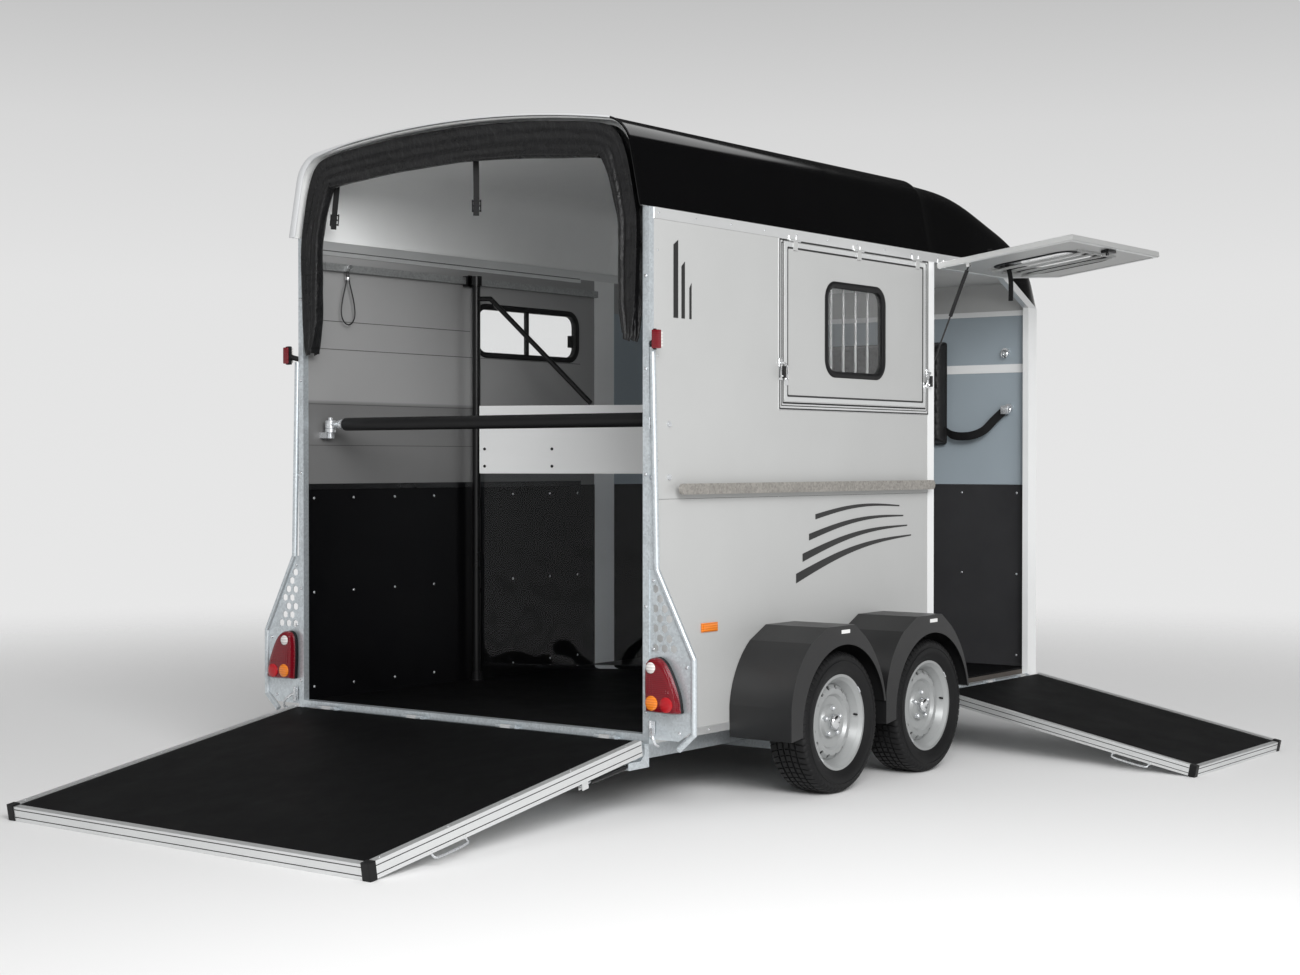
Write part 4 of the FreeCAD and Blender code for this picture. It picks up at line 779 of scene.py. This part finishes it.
for key, axis, steps, zone in (("foam", (0, 1, 0), 40, 0), ("tube", (0, 1, 0), 24, 1),
                               ("knuckle", (0, 0, 1), 28, 1), ("collar", (0, 1, 0), 24, 1)):
    bar.lathe(barBuild[key], (barBuild["x"], barBuild["starts"][key], barBuild["z"]), axis, steps, zone)
bar.piece("paddedRearBar", [foamBlack, zinc], "rear_bar", "pad_cloth", 0, 40, ["rear_bar"])

# clear skirt that hangs from the divider's plank
skirtBuild = {"x": (1.084, 2.90), "z": (0.38, 1.293), "y": 0.868, "wave": 0.019, "columns": 96, "rows": 52,
              "flat": (1.816, 0.925)}


def skirtPiece():
    shape = Shape(dividerTurn)
    columns, rows = skirtBuild["columns"], skirtBuild["rows"]
    (x0, x1), (z0, z1) = skirtBuild["x"], skirtBuild["z"]
    grid = []
    for i in range(columns + 1):
        line = []
        for j in range(rows + 1):
            u, v = i / columns, j / rows
            hang = (1 - v) ** 0.8
            soft = noise.noise(Vector((u * 3.1, v * 0.9, 2.5)))
            soft += 0.45 * noise.noise(Vector((u * 8.0, v * 3.2, 8.1)))
            crease = 0.35 * abs(noise.noise(Vector((u * 14, v * 6, 4.4))))
            low = z0 + 0.02 * noise.noise(Vector((u * 2.0, 0.3, 7.7))) + 0.012
            y = skirtBuild["y"] + skirtBuild["wave"] * hang * (soft + crease - 0.15)
            line.append(shape.bm.verts.new((x0 + (x1 - x0) * u, y, low + (z1 + 0.02 - low) * v)))
        grid.append(line)
    shape.cloth(grid)
    made = shape.piece("hangingSkirt", smokedSkirt, "divider", "clear_skirt", 0, 0, ["divider_skirt"])
    made.data.shade_smooth()
    thick = made.modifiers.new("thickness", "SOLIDIFY")
    thick.thickness = 0.002
    thick.offset = 0


skirtPiece()
print("rear bar and skirt made")

# straps: breast strap, curtain ties, flap pull
strapBuild = {"breast": (0.042, 0.003), "tie": (0.024, 0.0025), "tieFaces": (-0.6, 0.8, 0),
              "ties": ((0.752, 0.03), (-0.037, 0.0)), "rungs": (2.405, 2.385, 2.365)}
breast = Shape()
line = smoothPath([(3.176, -0.474, 1.508), (3.150, -0.52, 1.487), (3.140, -0.575, 1.478),
                   (3.142, -0.645, 1.483), (3.152, -0.705, 1.508), (3.166, -0.755, 1.56),
                   (3.176, -0.80, 1.602)], 6)
breast.ribbon(line, *strapBuild["breast"], (0, 0.3, 1), 0)
breast.block((3.160, -0.835, 1.588), (3.176, -0.792, 1.632), 1, 0.004)
breast.piece("breastStrap", [webbing, zinc], "trailer", "pad_cloth", 0.0008)
ties = Shape()
for y, lean in strapBuild["ties"]:
    across = Vector(strapBuild["tieFaces"])
    line = smoothPath([(0.046, y, 2.572), (0.048, y + lean * 0.4, 2.50), (0.049, y + lean * 0.8, 2.42),
                       (0.047, y + lean, 2.345)], 4)
    ties.ribbon(line, *strapBuild["tie"], across, 0)
    for k, z in enumerate(strapBuild["rungs"]):
        middle = Vector((0.050, y + lean * (0.82 + 0.06 * k), z))
        half = across.normalized() * 0.017
        ties.rod([middle - half, middle + half], 0.0032, 10, 0)
    for end in (-1, 1):
        edge = across.normalized() * 0.0165 * end
        top, foot = Vector((0.050, y + lean * 0.8, 2.410)), Vector((0.050, y + lean * 0.96, 2.360))
        ties.rod([top + edge, foot + edge], 0.0030, 10, 0)
ties.piece("curtainTies", webbing, "trailer", "curtain_cloth", 0.0005)
print("straps made")

# film on the right wall: plain tapered stripes in a layout of this script's own
decalBuild = {"faces": (-0.9512, -0.9504), "steps": 28, "bars": ((0.30, 0.030), (0.22, 0.022), (0.14, 0.014)),
              "barsFrom": (0.155, 1.90), "barsApart": 0.052}
film = Shape()


def sweptStripe(shape, start, end, rise, wide, tip):
    count = decalBuild["steps"]
    upper, lower = [], []
    for k in range(count + 1):
        t = k / count
        x = start[0] + (end[0] - start[0]) * t
        z = start[1] + (end[1] - start[1]) * t + rise * math.sin(math.pi * t)
        w = wide * (1 - t) + tip * t
        upper.append((x, z + w / 2))
        lower.append((x, z - w / 2))
    shape.plate(upper + lower[::-1], "y", *decalBuild["faces"])


for k in range(4):
    start, end = (1.02 + 0.05 * k, 0.86 + 0.085 * k), (1.98 - 0.035 * k, 1.015 + 0.045 * k)
    sweptStripe(film, start, end, 0.035 - 0.004 * k, 0.040 - 0.006 * k, 0.006)
for k, (tall, wide) in enumerate(decalBuild["bars"]):
    x, z = decalBuild["barsFrom"]
    x += decalBuild["barsApart"] * k
    film.plate([(x, z), (x + wide, z), (x + wide, z + tall), (x, z + tall - 0.02)], "y", *decalBuild["faces"])
film.piece("sideStripes", decalAndShadowBlack, "trailer", "silver_panel", 0, 0)
labels = Shape()
for wheelX, side, _ in wheels:
    y0, y1 = sorted((side * 1.2473, side * 1.2473 + side * 0.0006))
    labels.block((wheelX - 0.03, y0, 0.652), (wheelX + 0.035, y1, 0.667), 0)
labels.piece("blankFenderLabels", labelWhite, "trailer", "black_plastic", 0, 0)
print("film made")

# trim of the roof's rear edge, seals and seams
archBuild = {"half": 0.950, "lean": 11.5, "crown": 2.722, "corner": 0.14, "top": 5.0, "base": 2.312}


def archLine(inset, steps=10):
    # right half of the roof's section from the skirt to the crown, then mirrored
    lean = math.radians(archBuild["lean"])
    big, small = archBuild["top"] - inset, archBuild["corner"] - inset
    centre = Vector((0, archBuild["crown"] - archBuild["top"]))
    start = Vector((archBuild["half"] - inset / math.cos(lean), archBuild["base"]))
    along, inward = Vector((-math.sin(lean), math.cos(lean))), Vector((-math.cos(lean), -math.sin(lean)))
    offset = start + inward * small - centre
    b, c = offset.dot(along), offset.dot(offset) - (big - small) ** 2
    hub = start + inward * small + along * (-b + math.sqrt(b * b - c))
    low, high = -inward, (hub - centre).normalized()
    line = [start] + [start.lerp(hub + low * small, k / 4) for k in range(1, 4)]
    a0, a1 = math.atan2(low.y, low.x), math.atan2(high.y, high.x)
    for k in range(steps + 1):
        a = a0 + (a1 - a0) * k / steps
        line.append(hub + Vector((math.cos(a), math.sin(a))) * small)
    crownSteps = 16
    for k in range(1, crownSteps + 1):
        a = a1 + (math.pi / 2 - a1) * k / crownSteps
        line.append(centre + Vector((math.cos(a), math.sin(a))) * big)
    return line + [Vector((-p.x, p.y)) for p in reversed(line[:-1])]


def edgeTrim():
    shape = Shape()
    # (distance in from the roof's outline, place along the trailer)
    sections = [(-0.0015, -0.046), (-0.0025, -0.0515), (0.001, -0.0535), (0.010, -0.0535), (0.0115, -0.050),
                (0.0115, -0.046)]
    step = 0.01
    outer, inner = archLine(0), archLine(step)
    rings = []
    for a, b in zip(outer, inner):
        # painted reflection on the glossy black lip, broad on the left side and narrowing over the roof
        leftShare = min(1, max(0, (a.x - 0.55) / 0.33))
        broad = 0.45 + 2.1 * leftShare ** 2
        ring = []
        for inset, x in sections:
            share = inset * (broad if inset > 0 else 1) / step
            ring.append(Vector((x, *(a + (b - a) * share))))
        rings.append(ring)
    shape.loops(rings)
    for face in shape.bm.faces:
        # the lip stays glossy black on the right side and carries the painted reflection on the left and over
        # the top
        face.material_index = 1 if face.calc_center_median().y < -0.80 else 0
    shape.piece("roofEdgeTrim", [paintedLipReflection, roofGloss], "trailer", "aluminium", 0, 50)


edgeTrim()


def frameStrip(shape, outer, inner, y0, y1, zone=0):
    # a flat ring between two outlines in the x-z plane
    turns = ((outer, y0), (inner, y0), (inner, y1), (outer, y1))
    shape.band([[(u, y, v) for u, v in outline] for outline, y in turns], zone)


# boxes are (rear, front, low, high) of opening, frame and panel; lines are (from, to) inside a box
hatchBuild = {"opening": (0.911, 2.108, 1.588, 2.2645), "frame": (0.886, 2.133, 1.563, 2.2695),
              "panel": (0.922, 2.097, 1.599, 2.256), "seal": (0, 0.008),
              "frameLines": ((0.0012, 0.0074), (0.0150, 0.0190)), "edge": (0, 0.018),
              # the black line inside the panel's edge is a painted shadow
              "panelEdgeShadow": (0.0185, 0.0255)}


def boxStrip(shape, box, insets, y0, y1, r, zone=0):
    x0, x1, z0, z1 = box
    outer, inner = [roundedOutline(x0 + by, x1 - by, z0 + by, z1 - by, r, 2) for by in insets]
    frameStrip(shape, outer, inner, y0, y1, zone)


seals = Shape()
boxStrip(seals, hatchBuild["opening"], hatchBuild["seal"], -0.953, -0.934, 0.004)
seals.piece("hatchSeal", softRubber, "trailer", "window_rubber", 0, 0)
hatchLines = Shape()
for insets in hatchBuild["frameLines"]:
    boxStrip(hatchLines, hatchBuild["frame"], insets, -0.9536, -0.9528, 0.004)
hatchLines.piece("hatchFrameLines", decalAndShadowBlack, "trailer", "aluminium", 0, 0)
panelRibs = Shape()
boxStrip(panelRibs, hatchBuild["panel"], hatchBuild["edge"], -0.9582, -0.9555, 0.006)
# painted shadow: a black line just inside the panel's raised edge
boxStrip(panelRibs, hatchBuild["panel"], hatchBuild["panelEdgeShadow"], -0.9578, -0.9555, 0.006, 1)
panelRibs.piece("hatchPanelEdge", [aluminium, decalAndShadowBlack], "hatch", "silver_panel", 0.0008, 0)
flapRibs = Shape(flapTurn)
outer = [(2.197, 1.581), (3.140, 1.581), (3.140, 2.108), (2.812, 2.256), (2.197, 2.256)]
inner = [(2.213, 1.597), (3.124, 1.597), (3.124, 2.098), (2.808, 2.241), (2.213, 2.241)]
frameStrip(flapRibs, outer, inner, -0.9582, -0.9555)
frameStrip(flapRibs, outer, inner, -0.9325, -0.929)
flapRibs.piece("flapPanelEdge", aluminium, "flap", "silver_panel", 0.0008, 0)

# thin lines where the wall's skins meet, inside as (height, where it ends) and outside as (start, end)
seamBuild = {"start": 0.032, "outside": ((0.032, 0.884), (0.89, 2.13)), "outsideZ": 1.205,
             "inside": ((1.420, 1.905), (1.600, 1.905), (1.842, 1.905), (1.965, 1.075), (2.272, 1.905))}
seams = Shape()
for z, end in seamBuild["inside"]:
    seams.block((seamBuild["start"], 0.9208, z - 0.0014), (end, 0.9226, z + 0.0014), 0 if z > 2.2 else 1)
for x0, x1 in seamBuild["outside"]:
    z = seamBuild["outsideZ"]
    seams.block((x0, -0.9506, z - 0.0006), (x1, -0.9498, z + 0.0006))
seams.piece("wallSeams", [decalAndShadowBlack, seamGrey], "trailer", "silver_panel", 0, 0)
bands = Shape()
bands.block((0.032, 0.9165, 2.252), (1.905, 0.9225, 2.268), 0, 0.001)
bands.block((0.032, 0.9165, 1.228), (1.905, 0.9225, 1.252), 2, 0.001)
bands.block((1.018, 0.888, 2.172), (1.102, 0.916, 2.222), 2, 0.003)
bands.block((3.2055, -0.905, 2.086), (3.2078, 0.905, 2.112), 1)
for y0, y1 in ((-0.9178, -0.898), (0.898, 0.9178)):
    bands.block((3.196, y0, 0.32), (3.208, y1, 2.10), 1, 0.002)
bands.block((3.2050, -0.898, 1.799), (3.2078, 0.898, 1.842), 1)
bands.piece("innerBands", [aluminium, bandWhite, powderBlack], "trailer", "lining_blue", 0, 0)
print("trim made")

# small round heads, as instances that are realized
def boltTemplate(name, radius, tall, finish, sides=12):
    shape = Shape()
    rings = []
    for r, h in ((1.0, 0.0), (1.0, 0.35), (0.86, 0.7), (0.5, 0.95)):
        rings.append(circle(Vector((0, 0, tall * h)), Vector((1, 0, 0)), Vector((0, 1, 0)), radius * r, sides))
    shape.loops(rings)
    mesh = bpy.data.meshes.new(name)
    shape.bm.to_mesh(mesh)
    shape.bm.free()
    mesh.materials.append(finish)
    mesh.shade_smooth()
    return linked(name, mesh)


def boltField(name, places, facing, kind, body, finish=zinc, turn=None):
    # one head at each place; facing is the direction that the heads look in
    radius, tall = boltBuild[kind]
    template = boltTemplate(name + "Head", radius, tall, finish)
    points = [Vector(p) for p in places]
    heading = Vector(facing)
    if turn is not None:
        points = [turn @ p for p in points]
        heading = turn.to_3x3() @ heading
    cloud = bpy.data.meshes.new(name + "Points")
    cloud.from_pydata([p - ballPlace for p in points], [], [])
    holder = linked(name + "Points", cloud)
    group = bpy.data.node_groups.new(name, "GeometryNodeTree")
    for way in ("INPUT", "OUTPUT"):
        group.interface.new_socket("Geometry", in_out=way, socket_type="NodeSocketGeometry")
    kinds = ("NodeGroupInput", "GeometryNodeInstanceOnPoints", "GeometryNodeRealizeInstances",
             "GeometryNodeSetMaterial", "NodeGroupOutput")
    chain = [group.nodes.new(nodeKind) for nodeKind in kinds]
    for before, after in zip(chain[:-1], chain[1:]):
        group.links.new(before.outputs[0], after.inputs[0])
    source = group.nodes.new("GeometryNodeObjectInfo")
    group.links.new(source.outputs["Geometry"], chain[1].inputs["Instance"])
    source.inputs["Object"].default_value = template
    chain[1].inputs["Rotation"].default_value = heading.to_track_quat("Z", "Y").to_euler()
    chain[3].inputs["Material"].default_value = finish
    holder.modifiers.new("heads", "NODES").node_group = group
    depsgraph = bpy.context.evaluated_depsgraph_get()
    mesh = bpy.data.meshes.new_from_object(holder.evaluated_get(depsgraph))
    mesh.name = name
    made = linked(name, mesh)
    bpy.data.objects.remove(holder)
    bpy.data.objects.remove(template)
    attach(made, body)
    return made


# (radius, height) of each kind of head
boltBuild = {"kick": (0.006, 0.003), "frame": (0.007, 0.005), "rivet": (0.0045, 0.002), "plank": (0.007, 0.004),
             "deck": (0.005, 0.002), "kickRows": (0.37, 0.78, 1.19)}
rows = boltBuild["kickRows"]
places = [(x, 0.918, z) for z in rows for x in (0.06, 0.30, 0.56, 0.82, 1.10, 1.38, 1.66, 1.88)]
boltField("kickBoltsLeft", places, (0, -1, 0), "kick", "trailer")
places = [(x, -0.918, z) for z in rows for x in (0.06, 0.4, 0.8, 1.2, 1.6, 2.0)]
boltField("kickBoltsRight", places, (0, 1, 0), "kick", "trailer")
places = [(3.208, y, z) for z in rows for y in (-0.86, -0.55, -0.2, 0.2, 0.55, 0.86)]
boltField("kickBoltsFront", places, (-1, 0, 0), "kick", "trailer")
places = [(-0.0005, side * 0.935, z) for side in (-1, 1) for z in (0.40, 0.80, 1.30, 1.70, 2.05)]
boltField("postBolts", places, (-1, 0, 0), "frame", "trailer")
platePlaces = ((0.968, 0.35), (0.968, 0.90), (0.968, 0.64), (1.09, 0.33), (1.125, 0.58))
places = [(0.0038, side * y, z) for side in (-1, 1) for y, z in platePlaces]
boltField("plateBolts", places, (-1, 0, 0), "frame", "trailer")
places = [(x, -0.9500, 0.325) for x in (0.10, 0.22)]
places += [(0.055, -0.9500, z) for z in (0.55, 0.95, 1.35, 1.75, 2.15)]
boltField("wallRivets", places, (0, -1, 0), "rivet", "trailer")
places = [(0.06 + 0.24 * k, -0.953, 2.291) for k in range(12)]
places += [(0.10 + 0.29 * k, -0.953, 0.296) for k in range(8)]
boltField("railRivets", places, (0, -1, 0), "rivet", "trailer")
places = [(1.075 + dx, 0.854, z) for dx in (0.03, 0.36, 1.0, 1.5) for z in (1.327, 1.408)]
boltField("plankBolts", places, (0, -1, 0), "plank", "divider", powderBlack, dividerTurn)
places = [(x, side * 0.93, 0.3012) for side in (-1, 1) for x in (-0.12, -0.45, -0.78, -1.11, -1.44)]
boltField("rampDeckScrews", places, (0, 0, 1), "deck", "rear_ramp", zinc, rampTurn)
print("bolts made")

# ramp profiles: grooves, corner caps, wire handles
grooveBuild = {"rear": ((0.2835, 0.2865), (0.2545, 0.2575)), "side": ((0.2765, 0.2792), (0.2545, 0.257))}
rampTrim = Shape(rampTurn)
for side in (-1, 1):
    y0, y1 = sorted((side * 0.9449, side * 0.9456))
    for z0, z1 in grooveBuild["rear"]:
        rampTrim.block((-1.500, y0, z0), (-0.045, y1, z1), 0)
    y0, y1 = sorted((side * 0.912, side * 0.949))
    rampTrim.block((-1.511, y0, 0.239), (-1.476, y1, 0.3035), 0, 0.004)
for z0, z1 in grooveBuild["rear"]:
    rampTrim.block((-1.5076, -0.91, z0), (-1.5069, 0.91, z1), 0)
rampTrim.piece("rampCaps", [softRubber], "rear_ramp", "aluminium", 0, 0)
sideTrim = Shape(sideTurn)
for (x0, x1), (x2, x3) in (((2.1913, 2.192), (2.189, 2.222)), ((3.206, 3.2067), (3.176, 3.209))):
    for z0, z1 in grooveBuild["side"]:
        sideTrim.block((x0, -2.238, z0), (x1, -0.995, z1), 0)
    sideTrim.block((x2, -2.247, 0.242), (x3, -2.215, 0.2955), 0, 0.004)
for z0, z1 in grooveBuild["side"]:
    sideTrim.block((2.22, -2.2447, z0), (3.18, -2.244, z1), 0)
sideTrim.piece("sideRampCaps", [softRubber], "side_ramp", "aluminium", 0, 0)


def wireHandle(shape, middle, along, down, half=0.085, drop=0.035, radius=0.004):
    middle, along, down = Vector(middle), Vector(along), Vector(down)
    bends = ((-half, 0), (-half, drop * 0.5), (0.018 - half, drop), (half - 0.018, drop), (half, drop * 0.5),
             (half, 0))
    line = [middle + along * out + down * deep for out, deep in bends]
    shape.rod(smoothPath(line, 5), radius, 10, 0)
    for end in (-1, 1):
        foot = middle + along * half * end
        shape.rod([foot - down * 0.004, foot + down * 0.004], 0.009, 12, 0)


handles = Shape(rampTurn)
for side in (-1, 1):
    wireHandle(handles, (-1.13, side * 0.938, 0.243), (1, 0, 0), (0, side * 0.55, -0.5))
handles.piece("rampHandles", [zinc], "rear_ramp", "galvanised")
sideHandles = Shape(sideTurn)
wireHandle(sideHandles, (2.199, -1.95, 0.246), (0, 1, 0), (-0.6, 0, -0.5))
wireHandle(sideHandles, (3.199, -1.95, 0.246), (0, 1, 0), (0.6, 0, -0.5))
sideHandles.piece("sideRampHandles", [zinc], "side_ramp", "galvanised")
print("ramp trim made")

# over-centre latches of the hatch, hooks and rings of the rear frame
latches = Shape()
for x, lean in ((0.895, 1), (2.124, -1)):
    latches.block((x - 0.014, -0.9565, 1.685), (x + 0.014, -0.9535, 1.775), 0, 0.001)
    latches.rod([(x, -0.956, 1.755), (x, -0.972, 1.755)], 0.006, 12, 0)
    lever = [(x, -0.968, 1.757), (x + lean * 0.018, -0.974, 1.745), (x + lean * 0.032, -0.972, 1.715),
             (x + lean * 0.040, -0.966, 1.690)]
    latches.rod(smoothPath(lever, 5), 0.0035, 10, 0)
    latches.block((x - 0.009, -0.978, 1.692), (x + 0.009, -0.966, 1.742), 1, 0.003)
    latches.rod([(x - 0.014, -0.972, 1.70), (x + 0.014, -0.972, 1.70)], 0.004, 10, 0)
latches.piece("hatchLatches", [chrome, powderBlack], "trailer", "galvanised", 0.0005)
catches = Shape()
for x in (0.933, 2.086):
    catches.block((x - 0.011, -0.9605, 1.664), (x + 0.011, -0.9575, 1.712), 0, 0.001)
    catches.rod([(x, -0.959, 1.69), (x, -0.970, 1.69)], 0.005, 10, 0)
catches.piece("hatchCatches", [chrome], "hatch", "silver_panel", 0.0005)
hooks = Shape()
for side in (-1, 1):
    for z in (1.289, 1.492):
        hooks.rod([(0.014, side * 0.953, z), (0.014, side * 0.966, z)], 0.009, 12, 0)
        hooks.rod([(0.125, side * 0.950, z), (0.125, side * 0.957, z)], 0.011, 12, 0)
    hooks.block((0.001, side * 0.951 - 0.002, 1.47), (0.030, side * 0.951 + 0.002, 1.515), 0, 0.001)
    y = side * 0.975
    hook = [(-0.004, side * 0.962, 0.345), (-0.020, y, 0.338), (-0.040, y + side * 0.02, 0.318),
            (-0.036, y + side * 0.03, 0.290), (-0.015, y + side * 0.03, 0.280)]
    hooks.rod(smoothPath(hook, 5), 0.0055, 10, 0)
    hooks.block((-0.006, side * 0.967 - 0.012, 0.315), (0.0, side * 0.967 + 0.012, 0.370), 0, 0.002)
    hooks.rod([(-0.012, side * 0.965, 0.372), (-0.012, side * 0.965, 0.31)], 0.007, 12, 0)
hooks.piece("rearHooks", [zinc], "trailer", "galvanised", 0.0005)
rings = Shape()
for y, z in ((-0.804, 1.904), (0.804, 1.904), (-0.822, 1.621), (0.822, 1.621)):
    turns = [2 * math.pi * k / 20 for k in range(21)]
    loop = [(3.178, y + 0.017 * math.cos(a), z - 0.012 + 0.017 * math.sin(a)) for a in turns]
    rings.rod(loop, 0.0035, 8, 0)
rings.piece("wallRings", [chrome], "trailer", "galvanised")
print("latches made")

# pull strap and latch block of the flap
pull = Shape(flapTurn)
pull.block((2.615, -0.9300, 1.600), (2.700, -0.916, 1.640), 0, 0.003)
pull.rod([(2.64, -0.922, 1.62), (2.64, -0.905, 1.62)], 0.007, 12, 0)
pull.piece("flapLatch", [powderBlack], "flap", "black_plastic")
strap = Shape()
line = smoothPath([(2.345, -1.155, 2.331), (2.40, -1.156, 2.300), (2.47, -1.152, 2.288), (2.535, -1.150, 2.268),
                   (2.566, -1.150, 2.215), (2.571, -1.150, 2.160), (2.569, -1.150, 2.106)], 6)
strap.ribbon(line, 0.024, 0.0025, (0, 1, 0), 0)
strap.piece("flapPullStrap", [webbing], "flap", "black_plastic", 0.0004)

# wheel nuts, hub caps, valves and balance weights
hubBuild = {"nuts": 5, "nutRing": 0.056, "weightRing": 0.1935, "weights": ((0.6, 0.16), (3.9, 0.10)),
            "cap": [(0.031, 0.0), (0.033, 0.003), (0.032, 0.016), (0.027, 0.024), (0.014, 0.029), (0.0, 0.030)]}
face, high = tyreBuild["rimFace"], tyreBuild["radius"]
for wheelX, side, corner in wheels:
    hub = Shape()
    for k in range(hubBuild["nuts"]):
        a = 2 * math.pi * (k + 0.25) / hubBuild["nuts"]
        cx, cz = wheelX + hubBuild["nutRing"] * math.cos(a), high + hubBuild["nutRing"] * math.sin(a)
        hub.rod([(cx, side * (face - 0.047), cz), (cx, side * (face - 0.026), cz)], 0.0105, 6, 0)
        hub.rod([(cx, side * (face - 0.026), cz), (cx, side * (face - 0.021), cz)], [0.008, 0.005], 12, 0)
    hub.lathe(hubBuild["cap"], (wheelX, side * (face - 0.034), high), (0, side, 0), 32, 1)
    valve = [(wheelX + 0.166, side * (face - 0.040), 0.305), (wheelX + 0.158, side * (face - 0.012), 0.304)]
    hub.rod(valve, 0.0042, 10, 2)
    for start, reach in hubBuild["weights"]:
        turns = [start + reach * k / 4 for k in range(5)]
        ring = hubBuild["weightRing"]
        arc = [(wheelX + ring * math.cos(a), side * (face + 0.001), high + ring * math.sin(a)) for a in turns]
        hub.rod(arc, 0.0035, 8, 0)
    hub.piece("hub_" + corner, [zinc, chrome, softRubber], "wheel_" + corner, "rim_silver", 0.0006, 40)
print("hubs made")

# floor, backdrop and studio light
# "seen" and "mirror" hold (height in the sky, brightness) as the camera and as glossy surfaces find it
studio = {"floor": 0.86, "fade": (3.5, 11.0), "ambient": 0.43, "sun": 1.15, "sunAngle": 40,
          "sunFrom": (-0.60, -0.72, 0.46), "strip": 330,
          "seen": [(0.40, 0.81), (0.5, 0.79), (0.585, 0.77), (0.66, 0.68), (0.74, 0.50)],
          "mirror": [(0.30, 0.70), (0.565, 0.74), (0.610, 0.025), (0.775, 0.02), (0.785, 1.0), (0.83, 1.0),
                     (0.86, 0.1), (0.93, 0.5), (1.0, 0.6)]}
bpy.ops.mesh.primitive_circle_add(vertices=96, radius=40, fill_type="NGON", location=spot(1.5, 0, 0))
floor = bpy.context.object
floor.name = "studioFloor"
floorMat, floorTree, floorShader = newFinish("studioFloor")
floorTone = (studio["floor"],) * 3
feed(floorTree, floorShader, {"Roughness": 0.9, "Specular IOR Level": 0.1, "Base Color": floorTone})
clear = addNode(floorTree, "BsdfTransparent")
away = addNode(floorTree, "VectorMath", {0: objectPattern(floorTree)}, operation="LENGTH").outputs["Value"]
near, far = studio["fade"]
faded = addNode(floorTree, "MapRange", {"Value": away, "From Min": near, "From Max": far},
                interpolation_type="SMOOTHSTEP")
fade = addNode(floorTree, "MixShader", {0: faded.outputs[0], 1: floorShader.outputs[0], 2: clear.outputs[0]})
feed(floorTree, floorTree.nodes["Material Output"], {0: fade.outputs[0]})
floor.data.materials.append(floorMat)

world = bpy.data.worlds.new("studioWorld")
scene.world = world
world.use_nodes = True
sky = world.node_tree
sky.nodes.clear()
upward = axisOf(sky, addNode(sky, "TexCoord").outputs["Generated"], 2)
height, steeper = [mathNode(sky, "MULTIPLY_ADD", upward, slope, 0.5) for slope in (0.5, 1.0)]
evenLight = [(0.0, studio["ambient"]), (1.0, studio["ambient"])]
layers = []
for upTo, stops in ((height, evenLight), (height, studio["mirror"]), (steeper, studio["seen"])):
    layers.append(addNode(sky, "Background", {"Color": ramp(sky, upTo, stops)}).outputs[0])
rays = addNode(sky, "LightPath").outputs
shown = mathNode(sky, "MAXIMUM", rays["Is Camera Ray"], rays["Is Transmission Ray"])
light = layers[0]
for chooser, layer in ((rays["Is Glossy Ray"], layers[1]), (shown, layers[2])):
    light = addNode(sky, "MixShader", {0: chooser, 1: light, 2: layer}).outputs[0]
addNode(sky, "OutputWorld", {0: light})


def aimed(name, kind, place, target, mirrored):
    light = bpy.data.lights.new(name, kind)
    lamp = linked(name, light)
    lamp.location = spot(*place)
    lamp.rotation_mode = "QUATERNION"
    lamp.rotation_quaternion = (spot(*target) - lamp.location).to_track_quat("-Z", "Y")
    lamp.visible_glossy = mirrored
    return light


# the wide sun isn't mirrored, or it would bleach the black roof from the front left
sun = aimed("keySun", "SUN", [8 * v for v in studio["sunFrom"]], (0, 0, 0), False)
sun.energy = studio["sun"]
sun.angle = math.radians(studio["sunAngle"])
strip = aimed("rearStrip", "AREA", (-3.6, -5.6, 3.6), (0.6, -0.8, 1.2), True)
strip.shape = "RECTANGLE"
strip.size, strip.size_y = 3.4, 2.2
strip.energy = studio["strip"]
print("studio lit")
